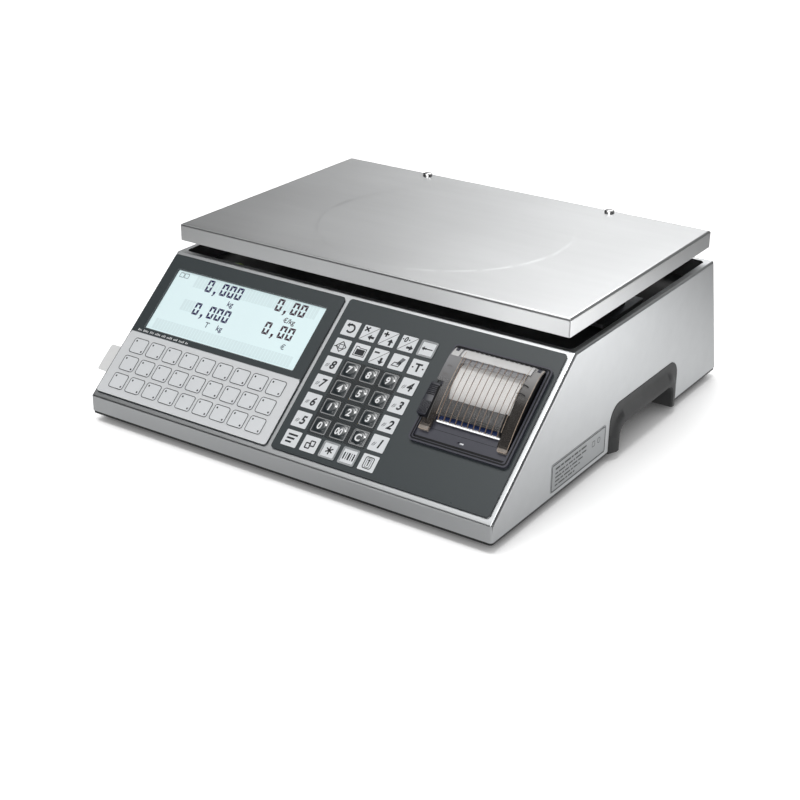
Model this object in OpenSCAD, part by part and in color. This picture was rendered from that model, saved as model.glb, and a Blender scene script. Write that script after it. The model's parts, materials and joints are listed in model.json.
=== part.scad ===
/* [Housing] */
// Width of the stainless housing
body_w = 382; // [370:1:400]
// Depth of the stainless housing at its base
body_d = 382; // [376:1:400]
// Height of the stainless housing without its feet
body_h = 106; // [104:1:110]
// Height of the upright lip below the sloped panel
lip_h = 13.5; // [12:0.5:15]
// Horizontal run of the sloped panel
slope_run = 112; // [110:1:114]
// How far the back leans in from base to top
back_lean = 26; // [22:1:30]
// Thickness of the stainless sheet
sheet = 1.5; // [1.2:0.1:1.8]
// Radius of the bent edges
edge_r = 2.5; // [2:0.1:3]
// Height of the sheet's lower edge above the surface the scale stands on
stand = 9; // [8:0.5:11]

/* [Weighing platter] */
// Width of the platter
platter_w = 370.4; // [360:0.4:376]
// Depth of the platter
platter_d = 245.6; // [240:0.4:250]
// Height of the platter's turned-down edge
platter_lip = 14.6; // [12:0.2:16]
// Clear gap between the housing's top and the platter's edge
platter_gap = 10.9; // [9:0.1:13]
// Radius of the pressed circle on the platter
press_r = 107; // [90:1:110]

/* [Keypads] */
// Thickness of the front panels
panel_t = 1.3; // [1.2:0.1:1.6]
// Spacing of the main keys across
key_pitch_x = 17.75; // [17.5:0.05:18]
// Spacing of the main keys up the slope
key_pitch_v = 16.7; // [16.5:0.1:17]
// Width of a main key
key_w = 14; // [13:0.1:14.2]
// Height of a main key
key_h = 13.4; // [13:0.1:13.6]
// Spacing of the product keys across
plu_pitch_x = 17.8; // [17.6:0.1:18]
// Spacing of the product keys up the slope
plu_pitch_v = 17; // [16.5:0.1:17.2]

/* [Printer] */
// Width of the printer frame
printer_w = 84; // [83:0.5:85]
// Length of the printer frame up the slope
printer_l = 83.6; // [83:0.2:84]
// Width of the labels
label_w = 53; // [40:1:53]
// Radius of the full label roll
roll_r = 23; // [18:0.5:23]
// Number of ribs on the smoked cover
cover_ribs = 11; // [5:1:13]

/* [Grips and feet] */
// Length of the grip opening along the side
grip_l = 96; // [88:1:98]
// Depth of the finger space behind the grip
grip_depth = 34; // [25:1:36]
// How far the grip stands out from the side
grip_out = 3.7; // [3:0.1:4]
// Radius of a levelling foot
foot_r = 14; // [10:1:15]

/* [Hidden] */

// Colours
steel = [0.74, 0.75, 0.76];
dark_panel = [0.22, 0.25, 0.26];
light_grey = [0.80, 0.81, 0.82];
black_plastic = [0.12, 0.13, 0.14];
printer_plastic = [0.27, 0.27, 0.32];
board_green = [0.10, 0.36, 0.22];
rubber_black = [0.06, 0.06, 0.06];
metal_grey = [0.56, 0.57, 0.58];

// Frame: the whole object's box is centred on the origin, so the body shifts by half the
// difference between what sticks out on its left and on its right
card_out = 8.5;
centre_x = (card_out - grip_out) / 2;
top_z = stand + body_h;
slope_angle = atan((body_h - lip_h) / slope_run);
lean_angle = atan(back_lean / body_h);
front_y = -body_d / 2;
top_front_y = front_y + slope_run;
top_back_y = body_d / 2 - back_lean;
tray_t = 2;
tray_z = stand - tray_t;
eps = 0.01;

// Well, platter and weighing works
well_rim = 6;
well_front_rim = 4.5;
well_w = body_w - 2 * well_rim;
well_y0 = top_front_y + well_front_rim;
well_y1 = top_back_y - well_rim;
well_r = 5;
well_depth = 17;
well_floor_t = 2.5;
platter_z = top_z + platter_gap;
platter_top = platter_z + platter_lip;
platter_y = top_back_y + 0.6 - platter_d / 2;
platter_edge_r = 2.4;
press_h = 0.15;
press_fold = 4;
peg_x = 93.5;
peg_y = platter_y + platter_d / 2 - 6.7;
peg_r = 4.3;
spider_t = 3;
spider_z = top_z - 11.5 - spider_t;
spider_end_x = 168.6;
spider_end_w = 38;
spider_end_l = 71;
spider_beam_w = 40;
pad_r = 5;
pad_x = spider_end_x - 13;
pad_dy = 12;
stop_x = spider_end_x - spider_end_w + 7;
stop_dy = spider_end_l / 2 - 8;
cell_l = 130;
cell_w = 30;
cell_h = 22;
cell_z = stand + 34;
cell_pad_l = 30;

// Front panels, measured from the body's centre and up the slope
left_panel = [-188.5, 4.5, 176.7, 137.2];
right_panel = [-7.6, 5, 193.6, 137];
window = [-177.3, 69.7, 153.9, 58.8];
pocket_v = [8, 52];
card_t = 0.3;
card_tab_v = [23, 24.5];
key_col_1 = 6.5;
key_row_1 = 116.8;
key_gap = 0.3;
key_low = 0.1;
key_cap = 1.9;
plu_col_1 = -171.7;
plu_row_1 = 52;
plu_w = 14.7;
plu_h = 13.4;
keypad_hole = [-2, 9, 86, 116];
lcd_hole = [-181, 66, 161, 66.2];

// Printer, in the frame of the sloped panel
printer_x = 98.5;
printer_v = 43;
rim_top = 4.3;
field_top = 2.2;
bay_x0 = printer_x + 3;
bay_x1 = printer_x + printer_w - 3;
bay_wall = 2;
bay_v0 = printer_v + 3;
bay_v1 = printer_v + printer_l - 2;
bay_depth = 46;
exit_v = 63.7;
platen_v = 69.5;
platen_h = -11;
platen_r = 5.2;
shaft_r = 2;
web_top = 4.6;
led_x = printer_x + 40.7;
led_v = 51.6;
roll_v = 99;
roll_h = -14.5;
roll_x = (bay_x0 + bay_x1) / 2;
spindle_r = 6;
core_r = 12.7;
fit = 0.05;
gear_module = 0.8;
platen_teeth = 18;
pinion_teeth = 10;
gear_x = bay_x0 - 6;
gear_t = 4;
mesh_d = gear_module * (platen_teeth + pinion_teeth) / 2;
motor_h = platen_h - mesh_d;
motor_r = 11;
motor_l = 24;
hinge_v = 120.2;
hinge_h = 6.4;
hinge_pin_r = 1.2;
cover_x0 = bay_x0 + 0.5;
cover_x1 = bay_x1 - 1.5;
cover_t = 1.8;
cover_low = 3.2;
cheek_left = 12;
cheek_right = 9;
bar_v = [70.5, 81.5];
ear_t = 2.5;
ear_r = 2.2;
ear_x = [cover_x0 + cover_t + 0.4, cover_x1 - cover_t - 0.4 - ear_t];
latch_x = [97, 105];
latch_v = 63.5;
latch_l = 27.5;
latch_top = 7.6;

// Side grips
grip_y0 = -2;
grip_top = 18;
grip_band = 13;
arch_y0 = grip_y0 - grip_band;
arch_y1 = grip_y0 + grip_l + grip_band;
arch_top = 38;
arch_r = 15;
grip_r = 8;
grip_ceiling = 30;

// Back panel
inlet_x = 120;
inlet_up = 24;
switch_x = 80;
switch_w = 9;
switch_pivot = 3;
switch_tilt = 7;
socket_x = [-150, -125];
socket_up = 24;
customer_x = 0;
customer_up = 66;
customer_w = 170;
customer_h = 40;

foot_x = 160;
foot_front_y = -158;
foot_rear_y = 164;
stud_r = 4;

// ---- Helpers ----

// Rounded outline: each corner of a closed outline becomes an arc of its own radius
function unit(a) = a / norm(a);
function turned(a, angle) =
    [a.x * cos(angle) - a.y * sin(angle), a.x * sin(angle) + a.y * cos(angle)];
function corner(a, b, c, r, n) =
    let (u = unit(b - a), w = unit(c - b), turn = atan2(u.x * w.y - u.y * w.x, u * w))
    let (start = b - u * r * tan(abs(turn) / 2), spoke = r * sign(turn) * [u.y, -u.x])
    [for (k = [0:n]) start - spoke + turned(spoke, turn * k / n)];
function rounded(points, radii, n = 4) =
    let (last = len(points))
    [for (i = [0:last - 1])
        each (radii[i] == 0 ? [points[i]]
            : corner(points[(i + last - 1) % last], points[i], points[(i + 1) % last],
                radii[i], n))];

// The same outline moved in by a distance t, for an outline listed anticlockwise
function inset(points, t) =
    let (last = len(points))
    [for (i = [0:last - 1])
        let (b = points[i], u = unit(b - points[(i + last - 1) % last]),
            w = unit(points[(i + 1) % last] - b), n1 = [-u.y, u.x], n2 = [-w.y, w.x])
        b + t * (n1 + n2) / (1 + n1 * n2)];

// Moves children from the body's centre to the object's own frame
module on_body() translate([centre_x, 0, 0]) children();

// Frame of the sloped panel: x across, y up the slope, z out of it
module on_slope()
    on_body() translate([0, front_y, stand + lip_h]) rotate([slope_angle, 0, 0]) children();

// Frame of the leaning back: x across, y out of it, z up it
module on_back()
    on_body() translate([0, body_d / 2, stand]) rotate([lean_angle, 0, 0]) children();

// Extrudes a (y, z) outline across x
module across(x0, x1) translate([x0, 0, 0]) rotate([90, 0, 90]) linear_extrude(x1 - x0) children();

// Rod along x
module rod_x(x0, x1, y, z, r)
    translate([x0, y, z]) rotate([0, 90, 0]) cylinder(h = x1 - x0, r = r, $fn = 48);

// Rod along z
module rod_z(x, y, z0, z1, r)
    translate([x, y, z0]) cylinder(h = z1 - z0, r = r, $fn = 48);

// Rectangle with round corners, given by its low corner and size
module round_rect(low, size, r) translate(low) {
    translate([r, 0]) square([size.x - 2 * r, size.y]);
    translate([0, r]) square([size.x, size.y - 2 * r]);
    for (x = [r, size.x - r], y = [r, size.y - r])
        translate([x, y]) circle(r = r, $fn = 32);
}

module round_plate(low, size, r, z0, z1)
    translate([0, 0, z0]) linear_extrude(z1 - z0) round_rect(low, size, r);

module plate(x0, x1, y0, y1, z0, z1) translate([x0, y0, z0]) cube([x1 - x0, y1 - y0, z1 - z0]);

// ---- Housing ----

// Side outline, with its lower edge at a given height
function side_outline(low) =
    [[front_y, low], [body_d / 2 - low * back_lean / body_h, low], [top_back_y, body_h],
        [top_front_y, body_h], [front_y, lip_h]];

// Solid of the housing's outside, with every bent edge rounded
module housing_outside() intersection() {
    translate([0, 0, stand]) across(-body_w / 2, body_w / 2)
        polygon(rounded(side_outline(0), [0, 0, edge_r, edge_r, edge_r]));
    edge_prism(stand + body_h);
    translate([0, front_y, stand + lip_h]) rotate([slope_angle, 0, 0]) edge_prism(0);
    translate([0, body_d / 2, stand]) rotate([lean_angle - 90, 0, 0]) edge_prism(0);
    translate([0, 0, -body_d]) linear_extrude(3 * body_d)
        polygon(rounded([[-body_w / 2, front_y], [body_w / 2, front_y],
            [body_w / 2, body_d], [-body_w / 2, body_d]], [edge_r, edge_r, 0, 0]));
}

// Long prism along y whose two upper edges are rounded
module edge_prism(top) translate([0, 2 * body_d, 0]) rotate([90, 0, 0])
    linear_extrude(4 * body_d)
        polygon(rounded([[-body_w / 2, top - 2 * body_d], [body_w / 2, top - 2 * body_d],
            [body_w / 2, top], [-body_w / 2, top]], [0, 0, edge_r, edge_r]));

module grip_arch(top, y0, y1, r) polygon(rounded(
    [[y0, -30], [y1, -30], [y1, top], [y0, top]], [0, 0, r, r], 6));

module well_outline(grow = 0)
    round_rect([-well_w / 2 - grow, well_y0 - grow],
        [well_w + 2 * grow, well_y1 - well_y0 + 2 * grow], well_r + grow);

module panel_hole(area, r) round_plate([area[0], area[1]], [area[2], area[3]], r, -20, 20);

module housing() color(steel) {
    difference() {
        union() {
            on_body() difference() {
                housing_outside();
                translate([0, 0, stand]) across(sheet - body_w / 2, body_w / 2 - sheet)
                    polygon(inset(side_outline(-20), sheet));
            }
            on_body() translate([0, 0, top_z - well_depth]) linear_extrude(well_depth - eps)
                difference() {
                    well_outline(sheet);
                    well_outline();
                }
        }
        on_body() translate([0, 0, top_z - sheet - 1]) linear_extrude(20) well_outline();
        on_body() translate([0, 0, stand]) across(-body_w, body_w)
            grip_arch(arch_top, arch_y0, arch_y1, arch_r);
        on_slope() {
            panel_hole(lcd_hole, 3);
            panel_hole(keypad_hole, 3);
            panel_hole([bay_x0 - 0.5, bay_v0 - 0.5, bay_x1 - bay_x0 + 1, bay_v1 - bay_v0 + 1], 1);
        }
        on_back() {
            plate(inlet_x - 24.2, inlet_x + 24.2, -10, 10, inlet_up - 13.7, inlet_up + 13.7);
            plate(switch_x - 6.7, switch_x + 6.7, -10, 10, inlet_up - 10.2, inlet_up + 10.2);
            plate(socket_x[0] - 9, socket_x[1] + 9, -10, 10, socket_up - 8, socket_up + 8);
            plate(customer_x - customer_w / 2, customer_x + customer_w / 2, -10, 10,
                customer_up - customer_h / 2, customer_up + customer_h / 2);
        }
    }
}

// ---- Base ----

module tray_outline(in) {
    difference() {
        round_rect([in - body_w / 2, front_y + in], [body_w - 2 * in, body_d - 2 * in], 3);
        for (side = [0, 1]) mirror([side, 0]) {
            translate([body_w / 2 - grip_depth - 2 - in, grip_y0 - 2 - in])
                square([grip_depth + 8, grip_l + 4 + 2 * in]);
            translate([body_w / 2 - sheet - 0.3, arch_y0 - 0.2])
                square([8, arch_y1 - arch_y0 + 0.4]);
        }
    }
}

module foot_places() for (x = [-foot_x, foot_x], y = [foot_front_y, foot_rear_y])
    translate([x, y, 0]) children();

screw_places = [[-120, -178], [0, -178], [120, -178], [-120, 178], [0, 178], [120, 178],
    [-176, -60], [176, -60], [-176, 128], [176, 128]];

module base_tray() color(black_plastic) on_body() difference() {
    union() {
        translate([0, 0, tray_z]) linear_extrude(tray_t) tray_outline(0.4);
        translate([0, 0, stand]) linear_extrude(8) difference() {
            tray_outline(5);
            tray_outline(7);
        }
        for (x = [-100, 100])
            plate(x - 1, x + 1, front_y + 20, -10, stand - eps, stand + 6);
    }
    foot_places() cylinder(h = 3 * stand, r = stud_r + 0.6, center = true, $fn = 48);
    for (p = screw_places) rod_z(p.x, p.y, 0, stand + 1, 1.8);
    for (x = [-80:10:80])
        round_plate([x - 1.5, 110], [3, 40], 1.4, tray_z - 1, stand + 1);
}

// Section of the band around a grip opening: distance from the opening, then how far out
module grip_section() polygon([[0, -sheet], [grip_band, -sheet], [grip_band, 0.3],
    [5, grip_out], [1.2, grip_out], [0, grip_out - 1.2]]);

module side_grip() translate([body_w / 2, 0, stand]) {
    y1 = grip_y0 + grip_l;
    // cover plate that fills the cut-out above and beside the opening
    across(-sheet, 0.3) difference() {
        intersection() {
            grip_arch(arch_top - 0.2, arch_y0 + 0.2, arch_y1 - 0.2, arch_r - 0.2);
            translate([-body_d, -tray_t]) square([2 * body_d, body_h]);
        }
        grip_arch(grip_top, grip_y0, y1, grip_r);
    }
    // raised bead around the opening: two legs, two corners and the bar between them
    translate([0, (grip_y0 + y1) / 2, 0]) {
        translate([0, grip_r - grip_l / 2, grip_top]) rotate([-90, -90, 0])
            linear_extrude(grip_l - 2 * grip_r) grip_section();
        for (end = [0, 1]) mirror([0, end, 0]) {
            translate([0, -grip_l / 2, -tray_t]) rotate(-90)
                linear_extrude(grip_top - grip_r + tray_t) grip_section();
            translate([0, grip_r - grip_l / 2, grip_top - grip_r]) rotate([180, -90, 0])
                rotate_extrude(angle = 90, $fn = 64) translate([grip_r, 0]) grip_section();
        }
    }
    // pocket for the fingers
    difference() {
        plate(-grip_depth - 2, -sheet, grip_y0 - 2, y1 + 2, -tray_t, grip_ceiling + 2);
        plate(-grip_depth, 1, grip_y0, y1, -tray_t - 1, grip_ceiling);
    }
}

module side_grip_right() color(black_plastic) on_body() side_grip();

module side_grip_left() color(black_plastic) on_body() mirror([1, 0, 0]) side_grip();

module foot_inserts() color(metal_grey) on_body() foot_places() difference() {
    translate([0, 0, stand]) cylinder(h = 12, r = 8, $fn = 6);
    cylinder(h = 40, r = stud_r + fit, $fn = 48);
}

module levelling_foot(x, y) color(rubber_black) on_body() translate([x, y, 0]) {
    cylinder(h = 1.5, r1 = foot_r - 1, r2 = foot_r, $fn = 64);
    translate([0, 0, 1.5]) cylinder(h = 2.5, r = foot_r, $fn = 64);
    translate([0, 0, 4]) cylinder(h = 2, r1 = foot_r, r2 = 8, $fn = 64);
    rod_z(0, 0, 5, 24, stud_r);
}

module screw_down(x, y, z, r, grip) {
    rod_z(x, y, z, z + 1.8, r);
    rod_z(x, y, z + 1.8 - eps, z + grip, r * 0.5);
}

module screws() color(metal_grey) on_body() {
    for (p = screw_places) screw_down(p.x, p.y, tray_z - 1.8, 3.2, 4.5);
    // bolts that hold the spider to the load cell's upper block
    for (x = [-8, 8], y = [-8, 8])
        rod_z(cell_l / 2 - cell_pad_l / 2 + x, platter_y + y, spider_z + spider_t,
            spider_z + spider_t + 4, 4);
    // screws of the printer's gear plate
    translate([0, front_y, stand + lip_h]) rotate([slope_angle, 0, 0])
        for (v = [platen_v - 8, platen_v + 8])
            rod_x(gear_x - 2.5, gear_x - 1, v, motor_h, 2.4);
}

// ---- Weighing works ----

module well_cover() color(black_plastic) on_body() difference() {
    translate([0, 0, top_z - well_depth - well_floor_t]) linear_extrude(well_floor_t)
        well_outline(sheet);
    translate([0, 0, top_z - 2 * well_depth]) linear_extrude(2 * well_depth)
        round_rect([cell_l / 2 - cell_pad_l - 4, platter_y - 22], [cell_pad_l + 8, 44], 4);
    stop_places() cylinder(h = top_z, r = 6, $fn = 48);
}

module stop_places() for (x = [-stop_x, stop_x], y = [-stop_dy, stop_dy])
    translate([x, platter_y + y, 0]) children();

module spider() color(metal_grey) on_body() {
    difference() {
        union() {
            plate(-spider_end_x, spider_end_x, platter_y - spider_beam_w / 2,
                platter_y + spider_beam_w / 2, spider_z, spider_z + spider_t);
            for (s = [-1, 1]) round_plate(
                [s > 0 ? spider_end_x - spider_end_w : -spider_end_x, platter_y - spider_end_l / 2],
                [spider_end_w, spider_end_l], 1.5, spider_z, spider_z + spider_t);
        }
        for (x = [-90, -30, 85]) rod_z(x, platter_y, 0, top_z, 11);
    }
    // stiffening webs under the beam
    for (y = [-1, 1]) plate(-spider_end_x + spider_end_w, cell_l / 2 - cell_pad_l - 6,
        platter_y + y * 17 - 1, platter_y + y * 17 + 1, spider_z - 1.6, spider_z + eps);
}

module spider_pads() color(rubber_black) on_body()
    for (x = [-pad_x, pad_x], y = [-pad_dy, pad_dy]) translate([x, platter_y + y, 0]) {
        rod_z(0, 0, spider_z + spider_t, platter_top - sheet, pad_r);
        rod_z(0, 0, spider_z + spider_t, spider_z + spider_t + 3, pad_r + 2);
    }

module load_cell() color(metal_grey) on_body() difference() {
    plate(-cell_l / 2, cell_l / 2, platter_y - cell_w / 2, platter_y + cell_w / 2,
        cell_z, cell_z + cell_h);
    for (x = [-16, 16]) translate([x, platter_y, cell_z + cell_h / 2])
        rotate([90, 0, 0]) cylinder(h = 2 * cell_w, r = 8.5, center = true, $fn = 64);
    plate(-16, 16, platter_y - cell_w, platter_y + cell_w,
        cell_z + cell_h / 2 - 3, cell_z + cell_h / 2 + 3);
}

module cell_spacers() color([0.7, 0.7, 0.72]) on_body() {
    plate(-cell_l / 2, cell_pad_l - cell_l / 2, platter_y - cell_w / 2,
        platter_y + cell_w / 2, stand, cell_z);
    plate(cell_l / 2 - cell_pad_l, cell_l / 2, platter_y - cell_w / 2,
        platter_y + cell_w / 2, cell_z + cell_h, spider_z);
}

module overload_stops() color(metal_grey) on_body() stop_places() {
    rod_z(0, 0, stand, spider_z - 1, 4);
    translate([0, 0, stand]) cylinder(h = 6, r = 7, $fn = 6);
}

module platter() color(steel) on_body() translate([0, platter_y, 0]) {
    w = platter_w / 2;
    d = platter_d / 2;
    low = platter_z;
    difference() {
        intersection() {
            across(-w, w) polygon(rounded([[-d, low], [d, low], [d, platter_top],
                [-d, platter_top]], [0, 0, platter_edge_r, platter_edge_r]));
            translate([0, d, 0]) rotate([90, 0, 0]) linear_extrude(2 * d)
                polygon(rounded([[-w, low], [w, low], [w, platter_top], [-w, platter_top]],
                    [0, 0, platter_edge_r, platter_edge_r]));
            round_plate([-w, -d], [2 * w, 2 * d], 1.2, low, platter_top);
        }
        plate(sheet - w, w - sheet, sheet - d, d - sheet, low - 1, platter_top - sheet);
        for (x = [-peg_x, peg_x]) rod_z(x, peg_y - platter_y, low, platter_top + 1, 2.5);
    }
    translate([0, 0, platter_top - eps])
        cylinder(h = press_h + eps, r1 = press_r + press_fold, r2 = press_r, $fn = 180);
}

module platter_screws() color(steel) on_body() for (x = [-peg_x, peg_x])
    translate([x, peg_y, platter_top]) {
        cylinder(h = 1.4, r = peg_r, $fn = 48);
        translate([0, 0, 1.4]) cylinder(h = 0.8, r1 = peg_r, r2 = peg_r - 1.2, $fn = 48);
        translate([0, 0, -6]) cylinder(h = 6 + eps, r = 2.4, $fn = 48);
        translate([0, 0, -sheet - 3]) cylinder(h = 3, r = 4, $fn = 6);
    }

module level_vial() color([0.75, 0.85, 0.35]) on_body()
    translate([-145, well_y0 + 14, top_z - well_depth]) {
        difference() {
            cylinder(h = 7, r = 9, $fn = 48);
            translate([0, 0, 6]) cylinder(h = 2, r = 7, $fn = 48);
        }
        translate([0, 0, 6]) cylinder(h = 0.6, r = 7, $fn = 48);
    }

// ---- Display panel ----

function plu_x(c) = plu_col_1 + c * plu_pitch_x;
function plu_v(r) = plu_row_1 - r * plu_pitch_v;

module display_panel() color(light_grey) on_slope() difference() {
    union() {
        round_plate([left_panel[0], left_panel[1]], [left_panel[2], left_panel[3]], 3, 0, panel_t);
        for (c = [0:8], r = [0:2])
            round_plate([plu_x(c) - plu_w / 2, plu_v(r) - plu_h / 2], [plu_w, plu_h],
                2, panel_t - eps, panel_t + 0.2);
    }
    round_plate([window[0], window[1]], [window[2], window[3]], 1, -1, 3);
    plate(left_panel[0] - 1, left_panel[0] + left_panel[2] - 8, pocket_v[0] - 0.5,
        pocket_v[0] + pocket_v[1] + 0.5, -1, card_t + 0.2);
}

module insert_card() color("white") on_slope() {
    plate(left_panel[0] + 2, left_panel[0] + left_panel[2] - 9, pocket_v[0],
        pocket_v[0] + pocket_v[1], 0.1, 0.1 + card_t);
    round_plate([-body_w / 2 - card_out, card_tab_v[0]], [30, card_tab_v[1]], 2,
        0.1, 0.1 + card_t);
}

module lcd_module() color([0.78, 0.90, 0.90]) on_slope() {
    plate(window[0] - 1.5, window[0] + window[2] + 1.5, window[1] - 1.5,
        window[1] + window[3] + 1.5, -2.8, -0.05);
    plate(window[0] - 2.5, window[0] + window[2] + 2.5, window[1] - 2.5,
        window[1] + window[3] + 2.5, -9, -2.8 + eps);
}

module display_board() color(board_green) on_slope() {
    plate(-176, -24, 66, 132, -15, -13.4);
    for (x = [-170, -30], v = [72, 126]) rod_z(x, v, -13.4 - eps, -9, 2.5);
    for (x = [-150, -118, -60]) plate(x, x + 18, 90, 104, -17, -15 + eps);
    plate(-95, -75, 112, 118, -22, -15 + eps);
}

// ---- Keypad ----

function key_x(c) = key_col_1 + c * key_pitch_x;
function key_v(r) = key_row_1 - r * key_pitch_v;
function is_number(c, r) = c >= 1 && c <= 3 && r >= 2 && r <= 5;

module keypad_panel() color(dark_panel) on_slope() difference() {
    union() {
        round_plate([right_panel[0], right_panel[1]], [right_panel[2], right_panel[3]],
            3, 0, panel_t);
        for (c = [0:4], r = [0:6]) if (!is_number(c, r))
            round_plate([key_x(c) - key_w / 2, key_v(r) - key_h / 2], [key_w, key_h],
                1, panel_t - eps, panel_t + 0.4);
    }
    round_plate([bay_x0 - 0.5, bay_v0 - 0.5], [bay_x1 - bay_x0 + 1, bay_v1 - bay_v0 + 1], 1, -1, 3);
    for (c = [1:3], r = [2:5])
        round_plate([key_x(c) - key_w / 2 - key_gap, key_v(r) - key_h / 2 - key_gap],
            [key_w + 2 * key_gap, key_h + 2 * key_gap], 1.5, -1, 3);
}

// Number key at column c and row r of the keypad
module number_key(c, r) color([0.17, 0.18, 0.19]) on_slope() translate([key_x(c), key_v(r), 0]) {
    round_plate([-key_w / 2, -key_h / 2], [key_w, key_h], 1.2, key_low, key_cap - 0.4);
    round_plate([-key_w / 2 + 0.6, -key_h / 2 + 0.6], [key_w - 1.2, key_h - 1.2], 1.6,
        key_cap - 0.4 - eps, key_cap);
}

module key_contacts() color([0.85, 0.6, 0.2]) on_slope() {
    plate(keypad_hole[0] - 4, keypad_hole[0] + keypad_hole[2] + 4, keypad_hole[1] - 3,
        keypad_hole[1] + keypad_hole[3] + 4, -sheet - 1.6, -sheet);
    for (c = [0:4], r = [0:6])
        translate([key_x(c), key_v(r), -sheet - eps])
            cylinder(h = 0.9, r1 = 4.5, r2 = 2.5, $fn = 32);
}

// ---- Printer ----

function bay_outline(t) = [[bay_v0 + t, field_top], [bay_v0 + t, -24 + t], [64 + 0.4 * t, t - bay_depth],
    [bay_v1 - t, t - bay_depth], [bay_v1 - t, field_top]];

module printer_frame() color(printer_plastic) on_slope() {
    difference() {
        union() {
            round_plate([printer_x, printer_v], [printer_w, printer_l], 4, panel_t, rim_top);
            across(bay_x0, bay_x1) polygon(bay_outline(0));
        }
        // recess inside the rim
        round_plate([bay_x0, printer_v + 3], [cover_x1 + 0.7 - bay_x0, printer_l - 6 + 1], 2,
            field_top, rim_top + 1);
        // groove around the rim
        round_groove();
        // bay for the label roll, open upwards behind the label exit
        intersection() {
            across(bay_x0 + bay_wall, bay_x1 - bay_wall) polygon(
                concat([for (p = bay_outline(bay_wall)) [p.x, p.y > 0 ? p.y + 3 : p.y]]));
            union() {
                plate(0, 200, exit_v - 0.2, 140, -60, 10);
                plate(0, 200, 40, 140, -60, -0.6);
            }
        }
        // gap for the latch
        plate(printer_x - 1, bay_x0, latch_v - 1, latch_v + latch_l + 5, panel_t - 1, 10);
        // status light
        round_plate([led_x - 2, led_v - 1], [4, 2], 0.9, 1.4, 5);
        // shaft bores
        rod_x(bay_x0 - 1, bay_x1 + 1, platen_v, platen_h, shaft_r + fit);
    }
    difference() {
        union() {
            // paper guides beside the roll
            for (x = [roll_x - label_w / 2 - 3, roll_x + label_w / 2 + 1])
                plate(x, x + 2, 76, bay_v1 - bay_wall - 5, -bay_depth + 1, 1.5);
            // hinge ears
            for (x = ear_x) {
                rod_x(x, x + ear_t, hinge_v, hinge_h, ear_r);
                plate(x, x + ear_t, hinge_v - ear_r, hinge_v + ear_r, -10, hinge_h);
            }
            for (x = [bay_x0 + 1, ear_x[1] + eps])
                plate(x, x + 2.8, hinge_v - ear_r, hinge_v + ear_r, -10, -2);
            // bridge between the roll and the label exit
            plate(bay_x0 + 1, bay_x1 - 1, platen_v, platen_v + 4.5, -3.5, -2);
            // row of small teeth at the top edge
            for (i = [0:12]) plate(roll_x - 26.4 + 4.2 * i, roll_x - 24.4 + 4.2 * i,
                bay_v1 - 1.4, bay_v1 + 0.8, field_top - 0.6, rim_top - 0.4);
        }
        rod_x(bay_x0, bay_x1, hinge_v, hinge_h, hinge_pin_r + fit);
        rod_x(bay_x0, bay_x1, roll_v, roll_h, spindle_r + fit / 2);
    }
}

module round_groove() translate([0, 0, rim_top - 0.8]) linear_extrude(2) difference() {
    round_rect([printer_x + 1.2, printer_v + 1.2], [printer_w - 2.4, printer_l - 2.4], 3);
    round_rect([printer_x + 2, printer_v + 2], [printer_w - 4, printer_l - 4], 2.4);
}

// Side outline of the smoked cover, moved in by t
function cover_corners(low) = [[122.5, low], [122.5, 7.5], [114, 12], [92, 12.4], [66, 9],
    [55, 5.2], [55, low]];

module cover_outline(t = 0) polygon(rounded(
    inset(cover_corners(t > 0 ? -20 : cover_low), t),
    [for (r = [0, 2.2, 5, 100, 60, 2, 0]) r == 0 ? 0 : max(0.2, r - t)]));

module printer_cover() color([0.35, 0.33, 0.32, 0.5]) on_slope() {
    x0 = cover_x0;
    x1 = cover_x1;
    difference() {
        across(x0, x1) cover_outline();
        across(x0 + cover_t, x1 - cover_t) cover_outline(cover_t);
        // the middle ends above the label exit, and the cheeks run on to their feet
        plate(x0 + cheek_left, x1 - cheek_right, 50, exit_v + 3, 0, 20);
        // notch beside the latch
        plate(x0 - 1, latch_x[1] + 0.5, latch_v - 1, latch_v + latch_l + 5, 0, 20);
        // notches for the hinge ears
        for (x = ear_x) plate(x - 0.4, x + ear_t + 0.4, hinge_v - 3, 130, 0, 9);
    }
    // inner walls of the cheeks
    for (x = [x0 + cheek_left - cover_t, x1 - cheek_right]) intersection() {
        across(x, x + cover_t) cover_outline();
        plate(x, x + cover_t, 56, 108, cover_low, 20);
    }
    // wall along the latch's notch
    intersection() {
        across(latch_x[1] + 0.5, latch_x[1] + 0.5 + cover_t) cover_outline();
        plate(x0, x1, latch_v - 2.8, latch_v + latch_l + 6, cover_low, 20);
    }
    // dark bar that joins the cheeks under the curved sheet
    plate(x0 + cheek_left - cover_t, x1 - cheek_right + cover_t, bar_v[0], bar_v[1], 3.6, 5);
    // ribs under the curved sheet
    for (i = [0:cover_ribs - 1]) {
        x = x0 + cheek_left + (i + 0.5) * (x1 - x0 - cheek_left - cheek_right) / cover_ribs;
        intersection() {
            difference() {
                across(x - 0.4, x + 0.4) cover_outline(cover_t - 0.2);
                across(x - 1, x + 1) cover_outline(cover_t + 1.3);
            }
            plate(x - 1, x + 1, exit_v + 3, 118, 6, 20);
        }
    }
    // hinge pins
    for (x = ear_x) rod_x(x - 0.4 - eps, x + ear_t + 0.4 + eps, hinge_v, hinge_h, hinge_pin_r);
}

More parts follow.
